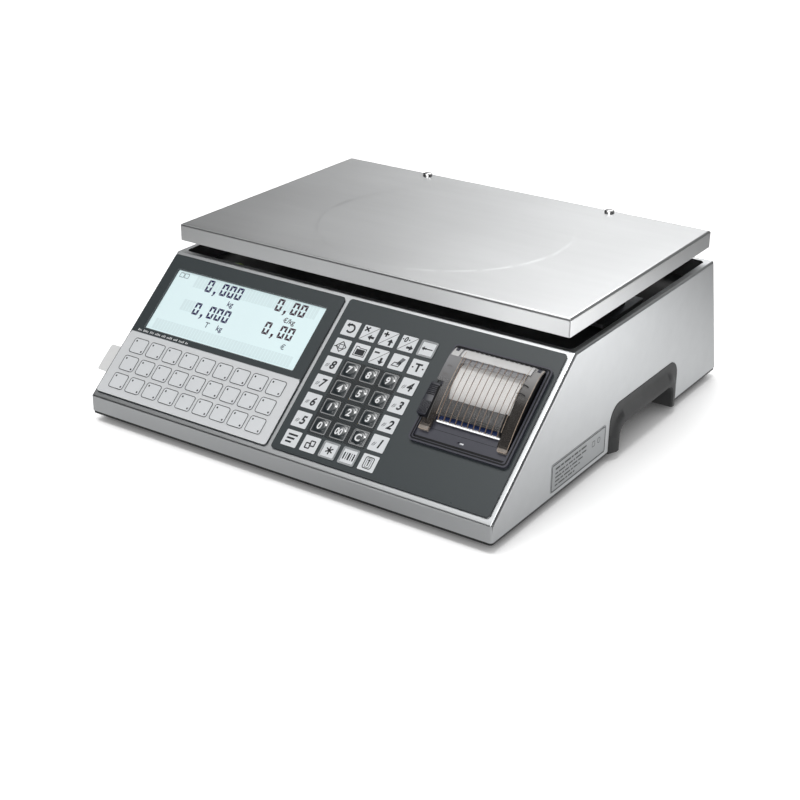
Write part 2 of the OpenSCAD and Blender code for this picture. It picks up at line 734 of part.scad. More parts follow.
module cover_latch() color(printer_plastic) on_slope() {
    plate(latch_x[0] + 0.2, bay_x0 - 0.1, latch_v, latch_v + latch_l, panel_t + 0.1, 4.6);
    across(latch_x[0], latch_x[1]) polygon(rounded([[latch_v, 4.6 - eps],
        [latch_v + latch_l, 4.6 - eps], [latch_v + latch_l, latch_top - 0.6],
        [latch_v, latch_top - 0.4]], [0, 0, 1.5, 1.5]));
    for (v = [18:1.7:25]) plate(latch_x[0] + 0.8, latch_x[1] - 0.8,
        latch_v + v, latch_v + v + 0.8, 4.6, latch_top);
    for (x = [0.8:1.2:7]) plate(latch_x[0] + x, latch_x[0] + x + 0.7,
        latch_v + 2, latch_v + 11.5, 4.6, latch_top);
}

module tear_bar() color(steel) on_slope() translate([0, exit_v - 0.2, 0])
    across(cover_x0 + cheek_left + 0.3, cover_x1 - cheek_right - 0.3)
        polygon([[-1.4, field_top], [0, field_top], [0, 5.2], [-0.4, 5.2], [-1.4, 4.2]]);

module print_head() color(metal_grey) on_slope() {
    plate(roll_x - 28, roll_x + 28, exit_v - 4, exit_v, -24, -3);
    plate(roll_x - 26, roll_x + 26, exit_v - 10, exit_v - 4 + eps, -22, -5);
}

module exit_guide() color([0.18, 0.25, 0.45]) on_slope() {
    plate(roll_x - 27, roll_x + 27, exit_v + 1, platen_v - 0.5, -2.5, 0.6);
    for (x = [bay_x0 + bay_wall, roll_x + 27 - eps])
        plate(x, x + (roll_x - 27 - bay_x0 - bay_wall) + eps, exit_v + 1.5, exit_v + 5, -2.5, -1);
}

module platen_roller() color(rubber_black) on_slope() {
    rod_x(roll_x - 28, roll_x + 28, platen_v, platen_h, platen_r);
    rod_x(gear_x - 1, bay_x1 - 0.5, platen_v, platen_h, shaft_r);
}

// Gear along x with straight-sided teeth, its first tooth at an angle
module gear(teeth, v, h, first) translate([gear_x, v, h]) rotate([90, 0, 90])
    rotate(first) linear_extrude(gear_t) {
        pitch_r = gear_module * teeth / 2;
        circle(r = pitch_r - 1.15 * gear_module, $fn = 64);
        for (i = [0:teeth - 1]) rotate(i * 360 / teeth) polygon([
            [pitch_r - 1.3 * gear_module, -0.75 * gear_module],
            [pitch_r, -0.62 * gear_module], [pitch_r + 0.9 * gear_module, -0.3 * gear_module],
            [pitch_r + 0.9 * gear_module, 0.3 * gear_module], [pitch_r, 0.62 * gear_module],
            [pitch_r - 1.3 * gear_module, 0.75 * gear_module]]);
    }

module platen_gear() color([0.85, 0.84, 0.8]) on_slope() difference() {
    gear(platen_teeth, platen_v, platen_h, -90);
    rod_x(gear_x - 1, bay_x0, platen_v, platen_h, shaft_r);
}

module motor_pinion() color([0.8, 0.65, 0.3]) on_slope() {
    gear(pinion_teeth, platen_v, motor_h, 90 + 180 / pinion_teeth);
    rod_x(gear_x - 11, gear_x + gear_t + 1, platen_v, motor_h, 1.5);
}

module motor() color(metal_grey) on_slope() difference() {
    union() {
        rod_x(gear_x - 4.5 - motor_l, gear_x - 4.5, platen_v, motor_h, motor_r);
        plate(gear_x - 5.5, gear_x - 4.5, platen_v - 13, platen_v + 13, motor_h - 5, motor_h + 5);
        plate(gear_x - 4.5 - motor_l, gear_x - 8.5, platen_v - 4, platen_v + 4,
            motor_h - motor_r - 3, motor_h);
    }
    rod_x(gear_x - 12, gear_x, platen_v, motor_h, 1.5 + fit);
}

module gear_plate() color(metal_grey) on_slope() difference() {
    union() {
        plate(gear_x - 4.5, gear_x - 2.5, platen_v - 13, platen_v + 13, motor_h - 7, motor_h + 7);
        for (v = [platen_v - 13, platen_v + 11])
            plate(gear_x - 2.5 - eps, bay_x0, v, v + 2, motor_h - 7, motor_h + 7);
    }
    rod_x(gear_x - 10, gear_x, platen_v, motor_h, 5.2);
}

module label_roll() color("white") on_slope() difference() {
    rod_x(roll_x - label_w / 2, roll_x + label_w / 2, roll_v, roll_h, roll_r);
    rod_x(0, 2 * roll_x, roll_v, roll_h, core_r);
}

module roll_core() color([0.72, 0.6, 0.42]) on_slope() difference() {
    rod_x(roll_x - label_w / 2 - 0.4, roll_x + label_w / 2 + 0.4, roll_v, roll_h, core_r);
    rod_x(0, 2 * roll_x, roll_v, roll_h, spindle_r + fit);
}

module roll_spindle() color(black_plastic) on_slope()
    rod_x(bay_x0 + bay_wall, bay_x1 - bay_wall, roll_v, roll_h, spindle_r);

// Web of labels from the roll, round the platen and out past the tear bar
function arc_points(v, h, r, a0, a1) =
    [for (k = [0:6]) let (a = a0 + (a1 - a0) * k / 6) [v + r * cos(a), h + r * sin(a)]];
function web_side(r_platen, r_roll) =
    let (gap = norm([roll_v - platen_v, roll_h - platen_h]),
        leave = 360 + atan2(roll_h - platen_h, roll_v - platen_v)
            - acos((r_platen - r_roll) / gap))
    concat([[platen_v - r_platen, web_top]],
        arc_points(platen_v, platen_h, r_platen, 180, leave),
        [[roll_v + r_roll * cos(leave), roll_h + r_roll * sin(leave)]]);

module label_strip() color("white") on_slope()
    across(roll_x - label_w / 2 + 1, roll_x + label_w / 2 - 1) {
        near = web_side(platen_r + 0.3, roll_r + 0.3);
        far = web_side(platen_r + 0.45, roll_r + 0.45);
        polygon(concat(near, [for (i = [len(far) - 1:-1:0]) far[i]]));
    }

// ---- Electronics and back panel ----

module main_board() color(board_green) on_body() {
    plate(-142, -25, 92, 168, stand + 6, stand + 7.6);
    for (x = [-137, -30], y = [97, 163]) rod_z(x, y, stand, stand + 6 + eps, 3);
    plate(-110, -86, 110, 134, stand + 7.6 - eps, stand + 9.4);
    plate(-70, -56, 110, 128, stand + 7.6 - eps, stand + 9);
    plate(-50, -30, 140, 150, stand + 7.6 - eps, stand + 16);
    for (x = [-132:9:-114]) rod_z(x, 148, stand + 7.6 - eps, stand + 17, 3.5);
}

module power_supply() color([0.75, 0.75, 0.72]) on_body() {
    plate(15, 65, 80, 160, stand + 6, stand + 7.6);
    plate(22, 48, 95, 120, stand + 7.6 - eps, stand + 30);
    rod_z(55, 145, stand + 7.6 - eps, stand + 34, 8);
    rod_z(32, 145, stand + 7.6 - eps, stand + 26, 6);
    for (x = [20, 60], y = [85, 155]) rod_z(x, y, stand, stand + 6 + eps, 3);
}

module power_inlet() color(black_plastic) on_back() {
    difference() {
        union() {
            plate(inlet_x - 24, inlet_x + 24, -22, 1.8, inlet_up - 13.5, inlet_up + 13.5);
            plate(inlet_x - 27, inlet_x + 27, 0, 1.8, inlet_up - 15.5, inlet_up + 15.5);
        }
        plate(inlet_x - 12.4, inlet_x + 12.4, -15, 3, inlet_up - 8.3, inlet_up + 8.3);
    }
    // frame and pivot pin of the rocker switch
    difference() {
        union() {
            plate(switch_x - 6.5, switch_x + 6.5, -11, 1.2, inlet_up - 10, inlet_up + 10);
            plate(switch_x - 8, switch_x + 8, 0, 1.2, inlet_up - 11.5, inlet_up + 11.5);
        }
        plate(switch_x - 4.8, switch_x + 4.8, -9.5, 3, inlet_up - 8.6, inlet_up + 8.6);
    }
    rod_x(switch_x - 4.8 - eps, switch_x + 4.8 + eps, -switch_pivot, inlet_up, 1.2);
    for (x = [-7, 0, 7]) plate(inlet_x + x - 1, inlet_x + x + 1, -15 - eps, -7,
        inlet_up - 2 + (x == 0 ? 3 : 0), inlet_up + 2 + (x == 0 ? 3 : 0));
}

module power_switch() color([0.75, 0.1, 0.08]) on_back()
    translate([switch_x, -switch_pivot, inlet_up]) rotate([-switch_tilt, 0, 0]) difference() {
        across(-switch_w / 2, switch_w / 2) polygon([[-4, -4.5], [1.5, -7.4], [5.4, -7.4],
            [4.2, 0], [5.4, 7.4], [1.5, 7.4], [-4, 4.5]]);
        rod_x(-switch_w, switch_w, 0, 0, 1.2 + fit);
    }

module customer_display() color([0.08, 0.1, 0.1]) on_back() {
    plate(customer_x - customer_w / 2 + 0.2, customer_x + customer_w / 2 - 0.2, -9, 0.4,
        customer_up - customer_h / 2 + 0.2, customer_up + customer_h / 2 - 0.2);
    plate(customer_x - customer_w / 2 + 6, customer_x + customer_w / 2 - 6, -14, -9 + eps,
        customer_up - customer_h / 2 + 4, customer_up + customer_h / 2 - 4);
}

module interface_sockets() color([0.6, 0.6, 0.6]) on_back() difference() {
    union() {
        plate(socket_x[0] - 8.8, socket_x[1] + 8.8, -16, 0.6, socket_up - 7.8, socket_up + 7.8);
        plate(socket_x[0] - 12, socket_x[1] + 12, 0, 0.6, socket_up - 10, socket_up + 10);
    }
    for (x = socket_x) plate(x - 5.9, x + 5.9, -13, 2, socket_up - 3.6, socket_up + 3.6);
}

module rating_plate() color([0.7, 0.71, 0.72]) on_body()
    translate([body_w / 2, 0, stand]) across(0, 0.3)
        round_rect([-107.7, 3], [86.2, 23.5], 1.5);

housing();
base_tray();
side_grip_left();
side_grip_right();
well_cover();
spider();
spider_pads();
load_cell();
cell_spacers();
overload_stops();
display_panel();
lcd_module();
display_board();
keypad_panel();
key_contacts();
insert_card();
printer_frame();
printer_cover();
cover_latch();
tear_bar();
print_head();
platen_roller();
platen_gear();
motor();
motor_pinion();
gear_plate();
label_roll();
roll_core();
roll_spindle();
label_strip();
exit_guide();
main_board();
power_supply();
power_inlet();
power_switch();
customer_display();
interface_sockets();
levelling_foot(-foot_x, foot_front_y);  // foot_front_left
levelling_foot(foot_x, foot_front_y);  // foot_front_right
levelling_foot(-foot_x, foot_rear_y);  // foot_rear_left
levelling_foot(foot_x, foot_rear_y);  // foot_rear_right
foot_inserts();
level_vial();
screws();
platter();
platter_screws();
rating_plate();
number_key(1, 5);  // key_0
number_key(1, 4);  // key_1
number_key(2, 4);  // key_2
number_key(3, 4);  // key_3
number_key(1, 3);  // key_4
number_key(2, 3);  // key_5
number_key(3, 3);  // key_6
number_key(1, 2);  // key_7
number_key(2, 2);  // key_8
number_key(3, 2);  // key_9
number_key(2, 5);  // key_00
number_key(3, 5);  // key_clear
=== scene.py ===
"""Looks of the label printing scale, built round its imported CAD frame. Lengths in the
helpers are millimetres on the object's own faces; everything is placed in metres."""
import json
import math

import bmesh
import bpy
from mathutils import Euler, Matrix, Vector


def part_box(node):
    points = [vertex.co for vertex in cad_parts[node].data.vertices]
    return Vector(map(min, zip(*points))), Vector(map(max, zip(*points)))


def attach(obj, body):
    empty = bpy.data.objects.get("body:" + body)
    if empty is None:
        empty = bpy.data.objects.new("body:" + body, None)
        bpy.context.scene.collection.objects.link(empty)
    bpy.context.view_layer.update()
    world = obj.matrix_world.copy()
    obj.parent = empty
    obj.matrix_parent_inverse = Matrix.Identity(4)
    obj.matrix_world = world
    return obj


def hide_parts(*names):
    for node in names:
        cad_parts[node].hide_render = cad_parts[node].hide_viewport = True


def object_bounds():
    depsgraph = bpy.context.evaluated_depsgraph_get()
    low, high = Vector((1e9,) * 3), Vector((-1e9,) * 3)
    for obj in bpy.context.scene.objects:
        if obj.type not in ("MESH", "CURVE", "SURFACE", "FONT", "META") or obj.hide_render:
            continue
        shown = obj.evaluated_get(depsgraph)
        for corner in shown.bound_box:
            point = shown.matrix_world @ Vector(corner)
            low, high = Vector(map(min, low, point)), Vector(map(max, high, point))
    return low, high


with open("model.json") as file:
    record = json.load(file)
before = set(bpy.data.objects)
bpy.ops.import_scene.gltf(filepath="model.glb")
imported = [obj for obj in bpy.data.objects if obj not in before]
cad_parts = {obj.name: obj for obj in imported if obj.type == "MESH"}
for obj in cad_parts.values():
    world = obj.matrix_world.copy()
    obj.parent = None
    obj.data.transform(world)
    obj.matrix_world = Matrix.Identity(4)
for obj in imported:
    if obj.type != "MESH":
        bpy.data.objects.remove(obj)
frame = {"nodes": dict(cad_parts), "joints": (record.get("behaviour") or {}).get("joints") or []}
bpy.context.view_layer.update()

MM = 0.001
nodes = frame["nodes"]
joints = {j["name"]: j for j in frame["joints"]}

# ---------------------------------------------------------------- faces of the object

# the sloping front: x from the body's centre, v up the slope, h out of the steel
UP = Vector(joints["cover_latch_slide"]["axis"])
OUT = -Vector(joints["press_key_5"]["axis"])
BODY_X = sum(p.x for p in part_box("platter")) / 2
PANEL_FOOT = 4.5        # the left panel starts this far up the slope


def project(node, direction):
    values = [v.co.dot(direction) for v in nodes[node].data.vertices]
    return min(values), max(values)


SLOPE_V = project("display_panel", UP)[0] - PANEL_FOOT * MM
SLOPE_H = project("display_panel", OUT)[0]
SLOPE_0 = Vector((BODY_X, 0, 0)) + UP * SLOPE_V + OUT * SLOPE_H


def slope(x, v, h=0.0):
    return SLOPE_0 + Vector((x * MM, 0, 0)) + UP * (v * MM) + OUT * (h * MM)


def area(node):
    """Where a node lies on the slope: x0, x1, v0, v1, h0, h1 in millimetres."""
    x = project(node, Vector((1, 0, 0)))
    v, h = project(node, UP), project(node, OUT)
    return [(x[0] - BODY_X) / MM, (x[1] - BODY_X) / MM, (v[0] - SLOPE_V) / MM,
            (v[1] - SLOPE_V) / MM, (h[0] - SLOPE_H) / MM, (h[1] - SLOPE_H) / MM]


PLATE_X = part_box("rating_plate")[1].x


def right_side(y, z, out=0.0):
    """The right-hand side: y back, z up, out of the plate, from the frame's origin."""
    return Vector((PLATE_X + out * MM, y * MM, z * MM))


# ---------------------------------------------------------------- drawing helpers

def rounded(x0, x1, y0, y1, r, n=5):
    """Outline of a rectangle with rounded corners, anticlockwise."""
    points = []
    for cx, cy, start in ((x1 - r, y1 - r, 0), (x0 + r, y1 - r, 90),
                          (x0 + r, y0 + r, 180), (x1 - r, y0 + r, 270)):
        for i in range(n + 1):
            a = math.radians(start + 90 * i / n)
            points.append((cx + r * math.cos(a), cy + r * math.sin(a)))
    return points


def divided(ring, pieces):
    """A rounded outline with each of its straight sides cut into that many pieces."""
    corner = len(ring) // 4
    made = []
    for i, (x, y) in enumerate(ring):
        made.append((x, y))
        if i % corner == corner - 1:
            x1, y1 = ring[(i + 1) % len(ring)]
            made += [(x + (x1 - x) * k / pieces, y + (y1 - y) * k / pieces)
                     for k in range(1, pieces)]
    return made


def offset_sides(points, width, closed):
    """The two edges of a line of that width through the points."""
    left, right = [], []
    count = len(points)
    for i, p in enumerate(points):
        p = Vector(p)
        before = Vector(points[i - 1]) if closed or i else None
        after = Vector(points[(i + 1) % count]) if closed or i < count - 1 else None
        d1 = (p - before).normalized() if before is not None else None
        d2 = (after - p).normalized() if after is not None else None
        d = ((d1 or d2) + (d2 or d1)).normalized()
        reach = 1 / max(0.35, d.dot(d1 or d2))
        n = Vector((-d.y, d.x)) * (width / 2 * reach)
        left.append(p + n)
        right.append(p - n)
    return left, right


def letters(text, height, shear=0.0, bold=0.0):
    """Flat mesh of a short text from the built-in font, centred on 0, 0: points, faces."""
    curve = bpy.data.curves.new("type", "FONT")
    curve.body = text
    curve.shear = shear
    curve.offset = bold
    curve.align_x, curve.align_y = "CENTER", "CENTER"
    curve.resolution_u = 6
    made = bpy.data.objects.new("type", curve)
    mesh = bpy.data.meshes.new_from_object(made)
    points = [v.co.copy() for v in mesh.vertices]
    faces = [tuple(f.vertices) for f in mesh.polygons]
    bpy.data.objects.remove(made)
    bpy.data.meshes.remove(mesh)
    low = [min(p[i] for p in points) for i in (0, 1)]
    high = [max(p[i] for p in points) for i in (0, 1)]
    size = height / (high[1] - low[1])
    return [((p.x - (low[0] + high[0]) / 2) * size, (p.y - (low[1] + high[1]) / 2) * size)
            for p in points], faces


def curve(points, n=4):
    """Smooth line through the points, n steps for each."""
    made = []
    for i in range(len(points) - 1):
        a, b = Vector(points[max(0, i - 1)]), Vector(points[i])
        c, d = Vector(points[i + 1]), Vector(points[min(len(points) - 1, i + 2)])
        for k in range(n):
            t = k / n
            made.append(0.5 * (2 * b + (c - a) * t + (2 * a - 5 * b + 4 * c - d) * t * t +
                               (3 * b - a - 3 * c + d) * t ** 3))
    return [tuple(p) for p in made] + [tuple(points[-1])]


def height_at(profile, v):
    """Height of a line of (v, h) points at v."""
    for (v0, h0), (v1, h1) in zip(profile, profile[1:]):
        if min(v0, v1) <= v <= max(v0, v1) and v0 != v1:
            return h0 + (h1 - h0) * (v - v0) / (v1 - v0)
    return profile[0][1] if abs(v - profile[0][0]) < abs(v - profile[-1][0]) else profile[-1][1]


class Drawing:
    """Shapes on one face of the object, gathered into one mesh with several finishes."""

    def __init__(self, place=slope):
        self.place = place
        self.points, self.faces, self.finish = [], [], []

    def add(self, points, faces, finish=0):
        start = len(self.points)
        self.points += [self.place(*p) for p in points]
        self.faces += [tuple(start + i for i in f) for f in faces]
        self.finish += [finish] * len(faces)

    def fill(self, outline, h, finish=0):
        self.add([(x, y, h) for x, y in outline], [tuple(range(len(outline)))], finish)

    def line(self, points, width, h, closed=False, finish=0):
        left, right = offset_sides(points, width, closed)
        n = len(points)
        steps = n if closed else n - 1
        self.add([(p.x, p.y, h) for p in left + right],
                 [(i, n + i, n + (i + 1) % n, (i + 1) % n) for i in range(steps)], finish)

    def type(self, text, x, y, height, h, shear=0.0, bold=0.0, finish=0, squeeze=1.0):
        turn = -1 if text == "9" else 1         # a 9 is a 6 turned by half
        points, faces = letters("6" if text == "9" else text, height, shear, bold)
        self.add([(x + px * turn * squeeze, y + py * turn, h) for px, py in points], faces, finish)

    def loops(self, rows, finish=0, closed=True, cap=True):
        """Skin through rows of equally many (x, y, h) points."""
        n = len(rows[0])
        faces = [(r * n + i, r * n + (i + 1) % n, (r + 1) * n + (i + 1) % n, (r + 1) * n + i)
                 for r in range(len(rows) - 1) for i in range(n if closed else n - 1)]
        if cap:
            faces += [tuple(range((len(rows) - 1) * n, len(rows) * n)),
                      tuple(reversed(range(n)))]
        self.add([p for row in rows for p in row], faces, finish)

    def prism(self, outline, x0, x1, finish=0):
        """Side outline of (v, h) points, run across the slope from x0 to x1."""
        self.loops([[(x, v, h) for v, h in outline] for x in (x0, x1)], finish)

    def band(self, profile, x0, x1, thick, finish=0):
        """Bent sheet of that thickness whose side view is a line of (v, h) points."""
        left, right = offset_sides(profile, thick, False)
        self.prism([tuple(q) for q in left + right[::-1]], x0, x1, finish)

    def block(self, x0, x1, v0, v1, h0, h1, r=0.3, finish=0):
        """Block with rounded corners and a softened top edge."""
        r = min(r, (x1 - x0) / 2.1, (v1 - v0) / 2.1)
        soft = min(0.3, r, (h1 - h0) / 2)
        rows = []
        for inset, h in ((0, h0), (0, h1 - soft), (soft * 0.3, h1 - soft * 0.3), (soft, h1)):
            ring = rounded(x0 + inset, x1 - inset, v0 + inset, v1 - inset, max(0.05, r - inset))
            rows.append([(x, v, h) for x, v in ring])
        self.loops(rows, finish)

    def build(self, name, materials, body, slot, smooth=False):
        mesh = bpy.data.meshes.new(name)
        mesh.from_pydata([tuple(p) for p in self.points], [], self.faces)
        for m in materials:
            mesh.materials.append(m)
        for polygon, finish in zip(mesh.polygons, self.finish):
            polygon.material_index = finish
            polygon.use_smooth = smooth
        mesh.validate()
        made = bpy.data.objects.new(name, mesh)
        bpy.context.scene.collection.objects.link(made)
        if smooth:
            work = bmesh.new()
            work.from_mesh(mesh)
            bmesh.ops.remove_doubles(work, verts=work.verts, dist=1e-6)
            bmesh.ops.recalc_face_normals(work, faces=work.faces)
            work.to_mesh(mesh)
            work.free()
            mesh.set_sharp_from_angle(angle=math.radians(38))
        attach(made, body)
        return made


# ---------------------------------------------------------------- materials

# Wide enough that noise never runs flat at either end, which would draw an outline.
NOISE_SPAN = (0.12, 0.88)


class Shader:
    """A Principled material with object-space detail. Uniform values stay on its sockets."""

    def __init__(self, name, colour, rough, metal=0.0, **sockets):
        self.material = bpy.data.materials.new(name)
        self.material.use_nodes = True
        self.tree = self.material.node_tree
        self.bsdf = self.tree.nodes["Principled BSDF"]
        self.set("Base Color", (*colour, 1))
        self.set("Roughness", rough)
        self.set("Metallic", metal)
        for socket, value in sockets.items():
            self.set(socket.replace("_", " "), value)
        self.colour, self.rough = colour, rough
        self.coords = self.node("ShaderNodeTexCoord").outputs["Object"]
        self.normal = None

    def set(self, socket, value):
        self.bsdf.inputs[socket].default_value = value

    def node(self, kind, **values):
        made = self.tree.nodes.new(kind)
        for key, value in values.items():
            if hasattr(made, key):
                setattr(made, key, value)
            else:
                made.inputs[key.replace("_", " ")].default_value = value
        return made

    def link(self, a, b):
        self.tree.links.new(a, b)

    def noise(self, scale, stretch=(1, 1, 1), detail=2.0):
        """Noise with features of about 1/scale metres, stretched along an axis."""
        mapping = self.node("ShaderNodeMapping")
        mapping.inputs["Scale"].default_value = stretch
        self.link(self.coords, mapping.inputs["Vector"])
        made = self.node("ShaderNodeTexNoise", Scale=scale, Detail=detail)
        self.link(mapping.outputs["Vector"], made.inputs["Vector"])
        return made.outputs["Fac"]

    def ramp(self, value, low, high, start=0.3, end=0.7):
        made = self.node("ShaderNodeMapRange", From_Min=start, From_Max=end,
                         To_Min=low, To_Max=high)
        self.link(value, made.inputs["Value"])
        return made.outputs["Result"]

    def mottle(self, value, amount, tint=(1, 1, 1)):
        """Lightens and darkens the colour by a share of itself."""
        mix = self.node("ShaderNodeMix", data_type="RGBA")
        mix.inputs["A"].default_value = (*[c * (1 - amount) for c in self.colour], 1)
        mix.inputs["B"].default_value = (*[min(1, c * (1 + amount) * t)
                                           for c, t in zip(self.colour, tint)], 1)
        self.link(self.ramp(value, 0, 1, *NOISE_SPAN), mix.inputs["Factor"])
        self.link(mix.outputs["Result"], self.bsdf.inputs["Base Color"])
        return self

    def roughen(self, value, spread):
        self.link(self.ramp(value, self.rough - spread, self.rough + spread, *NOISE_SPAN),
                  self.bsdf.inputs["Roughness"])
        return self

    def bump(self, value, depth, strength=1.0):
        """Relief of that depth in metres; several can be stacked."""
        made = self.node("ShaderNodeBump", Strength=strength, Distance=depth)
        self.link(value, made.inputs["Height"])
        if self.normal is not None:
            self.link(self.normal, made.inputs["Normal"])
        self.normal = made.outputs["Normal"]
        self.link(self.normal, self.bsdf.inputs["Normal"])
        return self


def brushed(name, colour, rough, along, line=5200, depth=0.00003):
    """Metal with fine straight lines along one axis, and a few longer scratches."""
    s = Shader(name, colour, rough, 1.0)
    stretch = [1.0, 1.0, 1.0]
    stretch[along] = 0.012
    fine = s.noise(line, stretch, 3)
    broad = s.noise(90, [0.15 if i == along else 1 for i in range(3)], 2)
    cloud = s.noise(9, (1, 1, 1), 3)
    s.mottle(broad, 0.03).roughen(cloud, 0.035)
    s.bump(fine, depth, 0.5).bump(broad, 0.000003, 0.25)
    return s.material


def moulded(name, colour, rough, grain=2600, depth=0.00004, **sockets):
    """Plastic with a fine spark-eroded grain and slightly uneven sheen."""
    s = Shader(name, colour, rough, **sockets)
    s.mottle(s.noise(26, detail=3), 0.07).roughen(s.noise(60, detail=3), 0.05)
    s.bump(s.noise(grain, detail=2), depth, 0.5)
    return s.material


def film(name, colour, rough, **sockets):
    """Printed polyester film over the keys: satin, with a very fine texture."""
    s = Shader(name, colour, rough, **sockets)
    s.mottle(s.noise(14, detail=3), 0.035).roughen(s.noise(40, detail=3), 0.04)
    s.bump(s.noise(3800, detail=1), 0.000003, 0.4)
    return s.material


def paper(name, colour, fibre=0.04):
    s = Shader(name, colour, 0.62, Specular_IOR_Level=0.25)
    s.mottle(s.noise(420, (1, 0.3, 1), 4), fibre, (1, 0.995, 0.98))
    s.bump(s.noise(1500, detail=4), 0.00001, 0.3)
    return s.material


def board(name):
    """Solder mask with darker copper tracks under it."""
    s = Shader(name, (0.02, 0.14, 0.05), 0.35, Coat_Weight=0.4)
    track = s.noise(160, (1, 0.2, 1), 1)
    s.mottle(s.ramp(track, 0.3, 0.7, 0.48, 0.52), 0.35)
    s.bump(track, 0.00005, 0.4)
    return s.material


INK_DARK = (0.012, 0.014, 0.018)
INK_LIGHT = (0.62, 0.64, 0.66)
FILM_DARK = (0.040, 0.050, 0.054)
FILM_LIGHT = (0.74, 0.755, 0.77)
KEY_LIGHT = (0.78, 0.80, 0.82)
SLATE = (0.056, 0.057, 0.075)

made_materials = {
    "stainless_body": brushed("stainless_body", (0.66, 0.675, 0.685), 0.34, 0),
    "stainless_platter": brushed("stainless_platter", (0.70, 0.71, 0.715), 0.30, 0),
    "polished_steel": brushed("polished_steel", (0.80, 0.80, 0.80), 0.16, 0, 2500, 0.00001),
    "zinc_steel": brushed("zinc_steel", (0.50, 0.52, 0.54), 0.36, 0, 1800, 0.00003),
    "cell_aluminium": brushed("cell_aluminium", (0.72, 0.73, 0.74), 0.33, 1, 1500, 0.00004),
    "supply_metal": brushed("supply_metal", (0.66, 0.66, 0.63), 0.32, 0, 1500, 0.00003),
    "socket_metal": brushed("socket_metal", (0.70, 0.70, 0.70), 0.24, 0, 2200, 0.00001),
    "pinion_brass": brushed("pinion_brass", (0.72, 0.50, 0.20), 0.28, 0, 2200, 0.00002),
    "key_contacts": brushed("key_contacts", (0.80, 0.58, 0.22), 0.25, 0, 2200, 0.00001),
    "rating_foil": brushed("rating_foil", (0.50, 0.515, 0.525), 0.40, 1, 3600, 0.00001),
    "black_plastic": moulded("black_plastic", (0.016, 0.017, 0.018), 0.42),
    "well_black": moulded("well_black", (0.010, 0.010, 0.011), 0.48, 1800),
    "black_rubber": moulded("black_rubber", (0.020, 0.020, 0.020), 0.72, 1400, 0.00010),
    "platen_rubber": moulded("platen_rubber", (0.022, 0.022, 0.023), 0.60, 1600, 0.00006),
    "printer_plastic": moulded("printer_plastic", SLATE, 0.38, 2400, 0.00003),
    "gear_plastic": moulded("gear_plastic", (0.74, 0.72, 0.66), 0.45, 900, 0.00003),
    "blue_guide": moulded("blue_guide", (0.018, 0.040, 0.145), 0.36, 2200, 0.00002),
    "switch_red": moulded("switch_red", (0.42, 0.018, 0.012), 0.24, 900, 0.00001,
                          Coat_Weight=0.5),
    "display_film": film("display_film", FILM_DARK, 0.30, Coat_Weight=0.12),
    "keypad_film": film("keypad_film", FILM_DARK, 0.30, Coat_Weight=0.12),
    "number_key": film("number_key", (0.026, 0.033, 0.037), 0.30, Coat_Weight=1.0,
                       Coat_Roughness=0.10, Coat_IOR=1.8),
    "card_paper": paper("card_paper", (0.80, 0.805, 0.81), 0.02),
    "label_paper": paper("label_paper", (0.95, 0.935, 0.925), 0.012),
    "core_card": paper("core_card", (0.40, 0.28, 0.15), 0.12),
    "circuit_board": board("circuit_board"),
    "rear_window": moulded("rear_window", (0.012, 0.013, 0.014), 0.08, 400, 0.000004,
                           Coat_Weight=0.6),
}


def lcd_material(name="lcd_glass", dim=1.0):
    """Backlit glass: pale cyan, its glow a little uneven."""
    s = Shader(name, (0.56 * dim, 0.67 * dim, 0.69 * dim), 0.22, Coat_Weight=0.3)
    s.mottle(s.noise(22, detail=3), 0.03)
    mix = s.node("ShaderNodeMix", data_type="RGBA")
    mix.inputs["A"].default_value = (0.64 * dim, 0.80 * dim, 0.81 * dim, 1)
    mix.inputs["B"].default_value = (0.72 * dim, 0.86 * dim, 0.87 * dim, 1)
    s.link(s.noise(11, (1, 1, 1), 1), mix.inputs["Factor"])
    s.link(mix.outputs["Result"], s.bsdf.inputs["Emission Color"])
    s.set("Emission Strength", 0.43)
    return s.material


def vial_material():
    s = Shader("vial_green", (0.42, 0.62, 0.10), 0.10, Coat_Weight=1.0)
    s.mottle(s.noise(200, detail=2), 0.12)
    s.bump(s.noise(300, detail=1), 0.00002, 0.3)
    return s.material


def smoked(name, colour, clear, edge):
    """Smoked plastic: nearly clear face on, closing up at a glancing angle."""
    s = Shader(name, colour, 0.10, Coat_Weight=0.4, Coat_Roughness=0.05)
    s.mottle(s.noise(30, detail=2), 0.12).roughen(s.noise(70, detail=3), 0.03)
    s.bump(s.noise(120, detail=2), 0.00003, 0.35)
    facing = s.node("ShaderNodeLayerWeight", Blend=0.35).outputs["Facing"]
    s.link(s.ramp(facing, clear, edge, 0.0, 0.9), s.bsdf.inputs["Alpha"])
    return s.material


def clear_plastic(name, colour, alpha, low=None, band=(66, 112)):
    """Tinted sheet; given low, it has that colour below the band of the slope and colour above it,
    blended across the band: painted lighter up the slope.
    """
    s = Shader(name, colour, 0.16, Specular_IOR_Level=0.25, Alpha=alpha)
    cloud = s.noise(55, detail=3)
    s.mottle(cloud, 0.10).roughen(s.noise(70, detail=3), 0.04)
    if low:
        along = s.node("ShaderNodeVectorMath", operation="DOT_PRODUCT")
        along.inputs[1].default_value = UP
        s.link(s.coords, along.inputs[0])
        start, end = (slope(140, v).dot(UP) for v in band)
        mix = s.node("ShaderNodeMix", data_type="RGBA")
        mix.inputs["A"].default_value = (*low, 1)
        s.link(s.ramp(along.outputs["Value"], 0, 1, start, end), mix.inputs["Factor"])
        s.link(s.bsdf.inputs["Base Color"].links[0].from_socket, mix.inputs["B"])
        s.link(mix.outputs["Result"], s.bsdf.inputs["Base Color"])
    s.bump(s.noise(60, detail=1), 0.00001, 0.10)
    return s.material


